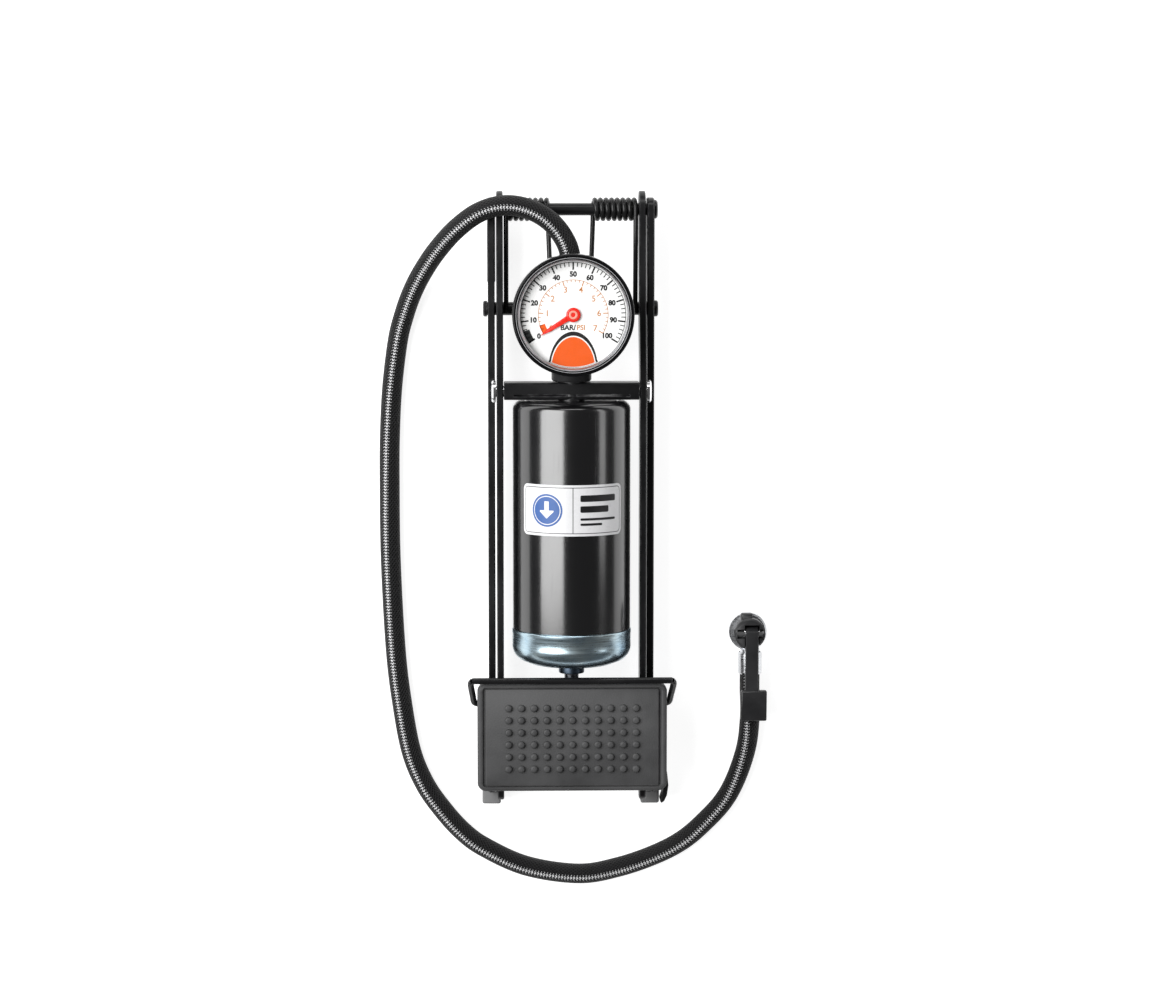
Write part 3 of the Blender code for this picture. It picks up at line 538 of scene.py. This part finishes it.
# How full a thread is, at shares of its half length from its middle.
STITCH_SWELL = [(-1.0, 0.25), (-0.55, 0.9), (0.55, 0.9), (1.0, 0.25)]


def in_frame(route):
    return [Vector((x, y + SHIFT_Y, z)) * MM for x, y, z in route]


def stripe_turn(share):
    """How far the marker stripe leans outwards from the hose's top, at a share of its length."""
    for (a, low), (b, high) in zip(STRIPE_TURNS, STRIPE_TURNS[1:]):
        if share <= b:
            t = (share - a) / (b - a)
            return math.radians(low + (high - low) * t * t * (3 - 2 * t))
    return math.radians(STRIPE_TURNS[-1][1])


def stitch(bm, centre, way, side, top, turn, shape):
    """One short thread on the hose's surface, as a low ridge with a crown, five corners round."""
    spot, across, along, width = [value * MM for value in shape]
    height = STITCH_HEIGHT
    rows = []
    for share, swell in STITCH_SWELL:
        angle = turn + (spot + across * share) / HOSE_RADIUS
        middle = centre + way * (along * share)
        out = side * math.sin(angle) + top * math.cos(angle)
        flat = (side * math.cos(angle) - top * math.sin(angle)).normalized()
        run = (flat * across + way * along).normalized()
        edge = out.cross(run).normalized()
        base = middle + out * HOSE_RADIUS
        rows.append(
            [
                bm.verts.new(base - edge * width * swell - out * height * 0.5),
                bm.verts.new(base - edge * width * swell * 0.7 + out * height * swell * 0.6),
                bm.verts.new(base + out * height * swell),
                bm.verts.new(base + edge * width * swell * 0.7 + out * height * swell * 0.6),
                bm.verts.new(base + edge * width * swell - out * height * 0.5),
            ]
        )
    for a, b in zip(rows, rows[1:]):
        for i in range(5):
            j = (i + 1) % 5
            bm.faces.new((a[i], a[j], b[j], b[i]))
    bm.faces.new(rows[0])
    bm.faces.new(list(reversed(rows[-1])))


def stripe_on(points, frames, before, total):
    """The pale wheat-ear stitching: a chain of slanting threads and a row of shorter ones each side."""
    bm = bmesh.new()
    ways = ways_along(points)
    far = before
    due = 0.0
    for i in range(len(points) - 1):
        step = (points[i + 1] - points[i]).length
        while due < far - before + step:
            part = (due - (far - before)) / step
            centre = points[i].lerp(points[i + 1], part)
            side, top = frames[i]
            turn = stripe_turn((before + due) / total)
            for shape in STITCHES:
                stitch(bm, centre, ways[i], side, top, turn, shape)
            due += STITCH_PITCH
        far += step
    bmesh.ops.recalc_face_normals(bm, faces=bm.faces)
    return bm, far


def make_hose():
    """Both runs of the hose with their stitched stripes, cut from one smooth curve."""
    whole = smooth_path(in_frame(UPPER_ROUTE + LOWER_ROUTE[1:]), HOSE_STEP)
    seam_at = Vector(in_frame(LOWER_ROUTE)[0])
    cut = min(range(len(whole)), key=lambda i: (whole[i] - seam_at).length)
    total = path_length(whole)
    frames = level_frames(whole)
    parts = (
        ("hose_run_upper", 0, cut, "hose_upper", "cylinder", "pedal_frame", UPPER_BEND),
        ("hose_run_lower", cut, len(whole) - 1, "hose_lower", "pedal_frame", "base", LOWER_BEND),
    )
    far = 0.0
    made = {}
    for name, first, last, node, near, distant, (start, end) in parts:
        points = whole[first : last + 1]
        local = frames[first : last + 1]
        bm = swept(points, local, HOSE_RADIUS, 40)
        tube = piece(name, bm, hose_braid, sharp=50.0)
        bm, far = stripe_on(points, local, far, total)
        marks_name = name.replace("run", "stripe")
        marks = piece(marks_name, bm, stripe_thread, sharp=60.0)
        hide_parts(node)
        for obj in (tube, marks):
            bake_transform(obj)
        made[name] = (tube, marks, points)
    return made


UPPER_BEND = in_frame([(0.0, 100.2, 30.5), LOWER_ROUTE[0]])
LOWER_BEND = in_frame([LOWER_ROUTE[0], LOWER_ROUTE[4]])


make_hose()


# ---------------------------------------------------------------- skins of the CAD nodes

def skin(node):
    """The node's own shape, its triangles merged into faces and its round stretches shaded smooth."""
    bm = bmesh.new()
    bm.from_mesh(nodes[node].data)
    bmesh.ops.remove_doubles(bm, verts=bm.verts, dist=0.002 * MM)
    bmesh.ops.dissolve_limit(bm, angle_limit=math.radians(0.4), verts=bm.verts, edges=bm.edges)
    slot = slot_of[node]
    look = OWN_LOOK.get(node, BY_SLOT[slot])
    made = piece(node + "_skin", bm, look, body_of[node], sharp=26.0)
    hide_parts(node)


slot_of = {subpart["node"]: subpart["material_slot"] for subpart in frame["record"]["subparts"]}
body_of = {
    node: body for body, members in frame["record"]["behaviour"]["bodies"].items() for node in members
}
OWN_LOOK = {"rod_bush": collar_steel}
REMADE = {
    "hose_upper", "hose_lower", "return_spring", "pedal_pad", "locking_bail", "cylinder_barrel",
    "end_cap", "gauge_bezel", "gauge_lens", "gauge_dial",
}
for node in sorted(set(nodes) - REMADE):
    skin(node)


# ---------------------------------------------------------------- return spring

HINGE = (132.5, 15.5)
WIRE_RADIUS = 1.15 * MM
COIL_TURNS = 7.5
COIL_PITCH = 2.62
COIL_RADIUS = 4.45
COIL_OUTER = 30.2
COIL_INNER = COIL_OUTER - COIL_PITCH * COIL_TURNS
COIL_STEPS = 36


def spring_half():
    """From the outer leg, round the axle, to the middle of the inner legs, on the right."""
    outer_leg = [
        (COIL_OUTER, 84.2, 17.0), (COIL_OUTER, 90.0, 16.9), (COIL_OUTER, 105.0, 18.2),
        (COIL_OUTER, 120.0, 19.4),
    ]
    coil = []
    for i in range(int(COIL_TURNS * COIL_STEPS) + 1):
        turn = math.radians(90) - 2 * math.pi * i / COIL_STEPS
        across = COIL_OUTER - COIL_PITCH * i / COIL_STEPS
        y = HINGE[0] + COIL_RADIUS * math.cos(turn)
        coil.append((across, y, HINGE[1] + COIL_RADIUS * math.sin(turn)))
    inner_leg = [
        (COIL_INNER - 0.1, 126.0, 11.0), (10.0, 114.0, 12.0), (9.5, 101.0, 14.6), (9.2, 91.5, 16.9),
        (9.0, 80.0, 17.3), (8.8, 70.0, 18.0), (8.6, 66.0, 18.4), (8.3, 63.2, 18.9), (7.2, 61.1, 19.4),
        (5.2, 60.2, 19.6), (2.5, 60.2, 19.6), (0.0, 60.2, 19.6),
    ]
    return smooth_path(in_frame(outer_leg + coil + inner_leg), 0.45 * MM)


def make_spring():
    """Both halves of the wire, the left a mirror of the right, each swept from its outer leg round the
    coil to its inner leg.
    """
    for side, word in ((-1, "left"), (1, "right")):
        points = [Vector((p.x * side, p.y, p.z)) for p in spring_half()]
        bm = swept(points, carried_frames(points), WIRE_RADIUS, 14)
        spring = piece("return_spring_" + word, bm, spring_black, sharp=50.0)
        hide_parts("return_spring")
        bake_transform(spring)


make_spring()


# ---------------------------------------------------------------- bail

BAIL_RADIUS = 1.5 * MM
BAIL_HALF = [
    (39.4, -98.0, 32.0), (43.0, -98.0, 32.0), (44.4, -97.9, 32.1), (45.5, -97.3, 32.8),
    (46.0, -96.0, 34.3), (46.4, -93.0, 37.6), (47.0, -89.0, 42.0), (47.2, -87.0, 44.2),
    (46.9, -85.7, 45.6), (46.0, -85.1, 46.3), (44.4, -85.0, 46.4), (20.0, -85.0, 46.4),
]


def make_bail():
    """The wire over the pedal's rear edge, bent down each side to its hole in the side wall."""
    route = BAIL_HALF + [(-x, y, z) for x, y, z in reversed(BAIL_HALF)]
    points = smooth_path(in_frame(route), 0.6 * MM)
    bm = swept(points, carried_frames(points), BAIL_RADIUS, 20)
    bail = piece("bail_wire", bm, wire_black, "bail", 50.0)
    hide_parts("locking_bail")


make_bail()


# ---------------------------------------------------------------- pedal pad

PAD_HALF = (44.2, 25.45)
PAD_MIDDLE_Y = -112.05
PAD_CORNER = 4.0
LEAST_CORNER = 0.8
# From the underside, out over the edge and in across the groove: (inset at the sides, inset at the
# ends, height).
PAD_PROFILE = [
    (1.2, 1.2, 39.2), (0.4, 0.4, 39.25), (0.05, 0.05, 39.6), (0.0, 0.0, 40.2), (0.0, 0.0, 43.4),
    (0.1, 0.1, 43.9), (0.4, 0.35, 44.35), (0.9, 0.7, 44.6), (2.4, 1.9, 44.62), (2.55, 2.0, 44.5),
    (2.65, 2.05, 43.9), (2.9, 2.2, 43.5), (3.5, 2.5, 43.5), (3.75, 2.65, 43.9), (3.85, 2.7, 44.5),
    (4.0, 2.8, 44.6),
]
STUD_COLUMNS = 11
STUD_ROWS = 6
STUD_PITCH = (5.94, 5.74)
STUD_FIRST = (-29.7, -126.9)
# (radius, height), from the stud's foot to the middle of its top.
STUD_PROFILE = [
    (1.78, 44.3), (1.75, 44.9), (1.7, 45.4), (1.54, 45.8), (1.24, 46.03), (0.7, 46.11), (0.0, 46.12),
]


CORNER_STEPS = 8


def rounded_rectangle(half, middle, corner):
    """Points round a rectangle with round corners, in order."""
    out = []
    for quarter, (sx, sy) in enumerate(((1, 1), (-1, 1), (-1, -1), (1, -1))):
        cx = middle[0] + sx * (half[0] - corner)
        cy = middle[1] + sy * (half[1] - corner)
        for k in range(CORNER_STEPS + 1):
            turn = math.radians(90 * (quarter + k / CORNER_STEPS))
            out.append((cx + corner * math.cos(turn), cy + corner * math.sin(turn)))
    return out


def make_pad():
    """The rubber tread with its groove and studs, laid into the pedal plate."""
    bm = bmesh.new()
    rings = []
    for across, along, height in PAD_PROFILE:
        half = (PAD_HALF[0] - across, PAD_HALF[1] - along)
        outline = rounded_rectangle(half, (0.0, PAD_MIDDLE_Y), max(PAD_CORNER - across, LEAST_CORNER))
        rings.append([bm.verts.new(p) for p in in_frame([(x, y, height) for x, y in outline])])
    for low, high in zip(rings, rings[1:]):
        for i in range(len(low)):
            j = (i + 1) % len(low)
            bm.faces.new((low[i], low[j], high[j], high[i]))
    bm.faces.new(list(reversed(rings[0])))
    bm.faces.new(rings[-1])
    loop = STUD_PROFILE + [(0.0, STUD_PROFILE[0][1])]
    for column in range(STUD_COLUMNS):
        for row in range(STUD_ROWS):
            x = STUD_FIRST[0] + STUD_PITCH[0] * column
            y = STUD_FIRST[1] + STUD_PITCH[1] * row + SHIFT_Y
            stud = turned([(r * MM, h * MM) for r, h in loop], (x * MM, y * MM, 0.0), 18)
            shape = bpy.data.meshes.new("stud")
            stud.to_mesh(shape)
            stud.free()
            bm.from_mesh(shape)
            bpy.data.meshes.remove(shape)
    bmesh.ops.recalc_face_normals(bm, faces=bm.faces)
    pad = piece("pedal_tread", bm, pad_rubber, "pedal_frame", 40.0)
    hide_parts("pedal_pad")


make_pad()


# ---------------------------------------------------------------- barrel and end cap

AXIS_Z = 30.5
BARREL_RADIUS = 27.5
BARREL_SIDES = 144


def scaled(profile):
    """A profile in metres, from one in millimetres."""
    return [(radius * MM, height * MM) for radius, height in profile]


def quarter_round(centre, radius, start, end, steps):
    """Points along an arc in a profile, from one angle to another, in degrees."""
    out = []
    for i in range(steps + 1):
        turn = math.radians(start + (end - start) * i / steps)
        out.append((centre[0] + radius * math.cos(turn), centre[1] + radius * math.sin(turn)))
    return out


def make_cylinder():
    """The barrel with its turned-over head, and the pressed end cap."""
    at = Vector((0.0, SHIFT_Y, AXIS_Z)) * MM
    barrel = (
        [(BARREL_RADIUS, -62.0)]
        + quarter_round((23.6, 40.5), 3.9, 0, 90, 10)
        + [(22.0, 44.5), (21.4, 44.1), (20.8, 44.5), (6.4, 44.6), (6.4, 42.4), (22.4, 42.2)]
        + quarter_round((22.9, 39.3), 2.9, 90, 0, 6)
        + [(25.8, -62.0)]
    )
    bm = turned(scaled(barrel), at, BARREL_SIDES, "Y")
    shell = piece("barrel_shell", bm, barrel_enamel, "cylinder", 30.0)
    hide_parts("cylinder_barrel")
    cap = (
        [(25.5, -57.0), (25.5, -62.4), (27.6, -62.4), (27.8, -62.7), (27.8, -64.2), (27.65, -64.5)]
        + [(27.65, -69.8)]
        + quarter_round((20.2, -70.2), 7.5, 0, -62, 10)
        + [(19.0, -78.7), (12.4, -79.3), (12.0, -79.1), (9.0, -79.1), (8.6, -79.4), (4.9, -79.4)]
        + [(4.9, -76.6), (12.0, -76.6), (18.0, -76.2), (21.6, -75.2), (23.6, -73.6), (24.4, -71.0)]
        + [(24.4, -57.0)]
    )
    bm = turned(scaled(cap), at, BARREL_SIDES, "Y")
    end = piece("end_cap_shell", bm, cap_zinc, "cylinder", 30.0)
    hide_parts("end_cap")


make_cylinder()


# ---------------------------------------------------------------- barrel sticker

STICKER_RADIUS = BARREL_RADIUS + 0.03
STICKER_HALF = (26.0, 11.8)
STICKER_Y = -4.2
FILM = 0.04


def wrapped(bm, columns, layer):
    """A thin film round the barrel. Each column is (distance round from the top, low y, high y)."""
    low = (STICKER_RADIUS + FILM * layer) * MM
    high = (STICKER_RADIUS + FILM * (layer + 1)) * MM
    rows = []
    for around, start, end in columns:
        turn = around / STICKER_RADIUS
        row = []
        for radius in (low, high):
            for y in (start, end):
                x = radius * math.sin(turn)
                z = AXIS_Z * MM + radius * math.cos(turn)
                row.append(bm.verts.new((x, (STICKER_Y + y + SHIFT_Y) * MM, z)))
        rows.append((row[0], row[1], row[3], row[2]))
    for a, b in zip(rows, rows[1:]):
        for i in range(4):
            j = (i + 1) % 4
            bm.faces.new((a[i], a[j], b[j], b[i]))
    bm.faces.new(rows[0])
    bm.faces.new(list(reversed(rows[-1])))


def bar(low, high, corner, steps=8, run=24):
    """Columns of a rectangle with round corners, from its low and high (around, y) corners."""
    out = []
    for k in range(steps + 1):
        turn = math.radians(90 * k / steps)
        dip = corner * (1 - math.sin(turn))
        out.append((low[0] + corner * (1 - math.cos(turn)), low[1] + dip, high[1] - dip))
    start = low[0] + corner
    end = high[0] - corner
    out += [(start + (end - start) * k / run, low[1], high[1]) for k in range(1, run)]
    out += [(low[0] + high[0] - a, b, c) for a, b, c in reversed(out[: steps + 1])]
    return out


def disc(centre, radius, steps=28):
    """Columns of a round spot."""
    out = []
    for k in range(steps + 1):
        turn = math.pi * k / steps
        reach = max(radius * math.sin(turn), 0.02)
        out.append((centre[0] - radius * math.cos(turn), centre[1] - reach, centre[1] + reach))
    return out


def film_piece(name, shapes, material):
    """One printed layer of the sticker. Each shape is (columns, layer)."""
    bm = bmesh.new()
    for columns, layer in shapes:
        wrapped(bm, columns, layer)
    bmesh.ops.recalc_face_normals(bm, faces=bm.faces)
    piece(name, bm, material, "cylinder", 30.0)


def make_sticker():
    """A plain panel: a ruled border, a divider, a round badge with an arrow and a block of bars."""
    wide, tall = STICKER_HALF
    edge = 1.1
    line = 0.32
    badge = (-12.4, 0.0)
    inner = edge + line
    panels = (
        ("film", 0.0, 2.6, sticker_white),
        ("border", edge, 2.0, ink_black),
        ("field", inner, 1.7, sticker_white),
    )
    for layer, (word, inset, corner, look) in enumerate(panels):
        panel = bar((inset - wide, inset - tall), (wide - inset, tall - inset), corner)
        film_piece("sticker_" + word, [(panel, layer)], look)
    marks = [(bar((-0.16, inner - tall), (0.16, tall - inner), 0.02), 3)]
    for y, end, thick in ((5.6, 21.5, 1.5), (0.6, 17.5, 1.5), (-4.0, 21.5, 0.55), (-6.4, 14.0, 0.55)):
        marks.append((bar((3.4, y - thick), (end, y + thick), min(thick * 0.9, 0.6)), 3))
    film_piece("sticker_marks", marks, ink_black)
    film_piece("sticker_badge", [(disc(badge, 7.6), 3)], ink_blue)
    film_piece("sticker_badge_ring", [(disc(badge, 6.7), 4)], sticker_white)
    film_piece("sticker_badge_middle", [(disc(badge, 6.3), 5)], ink_blue)
    head = [(badge[0] - 3.4 + 3.4 * k / 6, -0.6 - 3.2 * k / 6, 0.0) for k in range(7)]
    head += [(2 * badge[0] - a, b, c) for a, b, c in reversed(head[:-1])]
    stem = bar((badge[0] - 1.1, -0.2), (badge[0] + 1.1, 4.2), 0.3)
    film_piece("sticker_badge_arrow", [(head, 6), (stem, 6)], sticker_white)


make_sticker()


# ---------------------------------------------------------------- gauge

GAUGE_AT = Vector((0.0, 90.0, 0.0)) * MM
DIAL_TOP = 61.8
DIAL_RADIUS = 24.2
ZERO_ANGLE = 212.0
FULL_SWEEP = 244.0
FULL_SCALE = 100
INNER_STEPS = 35  # five to each number of the inner scale
INK = 0.03
GAUGE_SIDES = 144


def on_dial(radius, angle):
    """A point on the dial, from its radius and its angle in degrees."""
    turn = math.radians(angle)
    return radius * math.cos(turn), radius * math.sin(turn)


def plate(bm, outline, layer):
    """A thin flat shape printed on the dial, in millimetres from its centre."""
    rings = []
    for height in (DIAL_TOP + INK * layer, DIAL_TOP + INK * (layer + 1)):
        rings.append([bm.verts.new(GAUGE_AT + Vector((x, y, height)) * MM) for x, y in outline])
    count = len(outline)
    bm.faces.new(rings[1])
    bm.faces.new(list(reversed(rings[0])))
    for i in range(count):
        j = (i + 1) % count
        bm.faces.new((rings[0][i], rings[0][j], rings[1][j], rings[1][i]))


def tick(bm, angle, inner, outer, width):
    """One straight mark of a scale."""
    way = Vector(on_dial(1.0, angle))
    side = Vector((-way.y, way.x)) * width / 2
    near = way * inner
    far = way * outer
    plate(bm, [near - side, far - side, far + side, near + side], 1)


def sector(bm, inner, outer, start, end, steps=48):
    """Part of a ring, between two radii and two angles."""
    turns = [start + (end - start) * k / steps for k in range(steps + 1)]
    for a, b in zip(turns, turns[1:]):
        plate(bm, [on_dial(inner, a), on_dial(outer, a), on_dial(outer, b), on_dial(inner, b)], 1)


def lettering(bm, text, at, size, bold):
    """Flat generic lettering on the dial, centred on a point."""
    curve = bpy.data.curves.new("lettering", "FONT")
    curve.body = text
    curve.size = size
    curve.align_x = "CENTER"
    curve.align_y = "CENTER"
    curve.extrude = INK / 2
    curve.offset = bold
    curve.resolution_u = 3
    holder = bpy.data.objects.new("lettering", curve)
    scene.collection.objects.link(holder)
    bpy.context.view_layer.update()
    shape = bpy.data.meshes.new_from_object(holder.evaluated_get(bpy.context.evaluated_depsgraph_get()))
    middle = Vector((at[0], at[1], DIAL_TOP + INK * 1.5))
    for vertex in shape.vertices:
        vertex.co = GAUGE_AT + (vertex.co + middle) * MM
    bm.from_mesh(shape)
    bpy.data.objects.remove(holder)
    bpy.data.curves.remove(curve)
    bpy.data.meshes.remove(shape)


def print_outer_scale():
    """The black scale from 0 to 100, its units and the block before its zero."""
    bm = bmesh.new()
    for value in range(0, FULL_SCALE + 1, 2):
        angle = ZERO_ANGLE - FULL_SWEEP * value / FULL_SCALE
        major = value % 10 == 0
        tick(bm, angle, 20.5 if major else 21.9, 23.9, 0.7 if major else 0.4)
        if major:
            lettering(bm, str(value), on_dial(18.4 if value < FULL_SCALE else 18.1, angle), 3.2, 0.16)
    sector(bm, 21.0, 24.0, ZERO_ANGLE - 13.6, ZERO_ANGLE + 1.2)
    sector(bm, 23.75, 24.0, ZERO_ANGLE, ZERO_ANGLE - FULL_SWEEP, steps=140)
    lettering(bm, "BAR/", (-2.35, -5.9), 3.3, 0.11)
    piece("dial_print_black", bm, ink_black, "cylinder", 40.0)


def print_inner_scale():
    """The amber scale from 0 to 7 and its units."""
    bm = bmesh.new()
    for step in range(INNER_STEPS + 1):
        angle = ZERO_ANGLE - FULL_SWEEP * step / INNER_STEPS
        major = step % 5 == 0
        tick(bm, angle, 13.6 if major else 14.8, 15.9, 0.45 if major else 0.3)
        if major:
            lettering(bm, str(step // 5), on_dial(11.8, angle), 3.9, 0.04)
    sector(bm, 15.75, 16.0, ZERO_ANGLE, ZERO_ANGLE - FULL_SWEEP, steps=140)
    lettering(bm, "PSI", (3.55, -5.9), 3.3, 0.06)
    piece("dial_print_amber", bm, ink_amber, "cylinder", 40.0)


def patch_outline(half_width, height, rim, steps=40):
    """The dome at the foot of the dial: half an ellipse that stands on the dial's own rim."""
    foot = -24.5
    dome = []
    for k in range(steps + 1):
        turn = math.pi * k / steps
        x = half_width * math.cos(turn)
        y = foot + height * math.sin(turn)
        if math.hypot(x, y) < rim:
            dome.append((x, y))
    first = math.degrees(math.atan2(dome[-1][1], dome[-1][0])) % 360
    last = math.degrees(math.atan2(dome[0][1], dome[0][0])) % 360
    return dome + [on_dial(rim, first + (last - first) * k / 20) for k in range(21)]


def make_dial():
    """The printed card, from its scales down to the card itself."""
    print_outer_scale()
    print_inner_scale()
    layers = (
        ("dial_patch_border", 11.2, 16.9, DIAL_RADIUS - 0.05, 1, ink_black),
        ("dial_patch_line", 10.4, 15.0, DIAL_RADIUS - 0.2, 2, ink_white),
        ("dial_patch", 9.9, 14.4, DIAL_RADIUS - 0.5, 3, ink_orange),
    )
    for name, half_width, height, rim, layer, ink in layers:
        bm = bmesh.new()
        plate(bm, patch_outline(half_width, height, rim), layer)
        bmesh.ops.recalc_face_normals(bm, faces=bm.faces)
        piece(name, bm, ink, "cylinder", 40.0)
    bm = bmesh.new()
    sector(bm, 13.5, 16.2, ZERO_ANGLE - 14.6, ZERO_ANGLE + 0.6)
    piece("dial_zero_block", bm, ink_orange, "cylinder", 40.0)
    card = [(1.5, 61.2), (24.5, 61.2), (24.5, 61.74), (24.44, DIAL_TOP), (1.56, DIAL_TOP), (1.5, 61.74)]
    bm = turned(scaled(card), GAUGE_AT, 128)
    face = piece("dial_card", bm, dial_white, "cylinder", 30.0)
    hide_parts("gauge_dial")


def make_bezel_and_lens():
    """The glossy ring with a thin pale ring painted on its top as a highlight, the pale lip inside it
    and the domed lens.
    """
    outside = quarter_round((26.9, 66.2), 0.9, 0, 90, 8)
    outside += [(26.0, 67.1)] + quarter_round((25.9, 66.8), 0.35, 80, 180, 5)
    loop = [(26.7, 55.6), (27.4, 55.6), (27.65, 55.9), (27.65, 58.0), (27.8, 58.4)] + outside
    loop += [(25.5, 65.5), (26.7, 65.1)]
    bm = turned(scaled(loop), GAUGE_AT, GAUGE_SIDES)
    bezel = piece("bezel_ring", bm, bezel_gloss, "cylinder", 30.0)
    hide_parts("gauge_bezel")
    # A thin pale ring on the bezel's flat top: a painted highlight that stands in for the reflection of
    # the lights.
    line = [(25.95, 67.05), (26.16, 67.05), (26.16, 67.14), (25.95, 67.14)]
    bm = turned(scaled(line), GAUGE_AT, GAUGE_SIDES)
    piece("bezel_painted_highlight", bm, painted_highlight_grey, "cylinder", 40.0)
    rim = [(24.35, 65.25), (25.45, 65.25), (25.45, 66.5), (25.3, 66.6), (24.9, 66.3), (24.5, 65.7)]
    bm = turned(scaled(rim), GAUGE_AT, GAUGE_SIDES)
    piece("dial_rim", bm, rim_grey, "cylinder", 40.0)
    dome = [(24.2 * (1 - k / 8), 64.8 + 0.5 * (1 - (1 - k / 8) ** 2)) for k in range(9)]
    bm = turned(scaled([(0.0, 63.6), (26.3, 63.4), (26.3, 64.8)] + dome), GAUGE_AT, 96)
    lens = piece("lens_dome", bm, lens_clear, "cylinder", 30.0)
    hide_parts("gauge_lens")


def make_needle_cap():
    """The pale ring round the needle's boss."""
    ring = [(1.1, 63.12), (1.9, 63.12), (2.0, 63.2), (1.8, 63.3), (1.2, 63.3), (1.05, 63.2)]
    piece("needle_ring", turned(scaled(ring), GAUGE_AT, 48), needle_pale, "needle", 40.0)


make_dial()
make_bezel_and_lens()
make_needle_cap()


# ---------------------------------------------------------------- stage and light

FLOOR_HALF = 6.0


def area_light(name, at, aim, along, across, power):
    """A soft bank aimed at a point: its first size runs level, its second up the slope."""
    data = bpy.data.lights.new(name, "AREA")
    data.shape = "RECTANGLE"
    data.size = along
    data.size_y = across
    data.energy = power
    light = bpy.data.objects.new(name, data)
    scene.collection.objects.link(light)
    light.location = at
    light.rotation_mode = "QUATERNION"
    light.rotation_quaternion = (Vector(aim) - Vector(at)).to_track_quat("-Z", "Y")


def make_floor():
    """A wide sheet of white paper that glows a little, so that the shadows on it stay pale."""
    bm = bmesh.new()
    corners = ((-1, -1), (1, -1), (1, 1), (-1, 1))
    bm.faces.new([bm.verts.new((x * FLOOR_HALF, y * FLOOR_HALF, 0.0)) for x, y in corners])
    white = (1.0, 1.0, 1.0, 1.0)
    paper = Finish("backdrop_paper", (0.5, 0.5, 0.5), 0.6, Emission_Color=white, Emission_Strength=0.86)
    paper.bump(paper.noise(300.0, 3.0), 0.00002)
    floor = piece("floor", bm, paper.material)


def make_lights():
    """A faint white room, a large bank on the left, and weaker ones on the right and at the hinge."""
    world = bpy.data.worlds.new("studio")
    world.use_nodes = True
    background = world.node_tree.nodes["Background"]
    background.inputs["Color"].default_value = (1.0, 1.0, 1.0, 1.0)
    background.inputs["Strength"].default_value = 0.09
    scene.world = world
    area_light("left_bank", (-1.02, 0.5, 1.26), (0.0, 0.5, 0.03), 1.6, 1.36, 50.0)
    area_light("right_bank", (1.3, 0.52, 0.76), (0.0, 0.52, 0.03), 1.4, 0.34, 4.0)
    area_light("far_bank", (0.0, 1.7, 1.0), (0.0, 0.0, 0.03), 1.2, 0.5, 8.0)
    scene.view_settings.view_transform = "Standard"


make_floor()
make_lights()
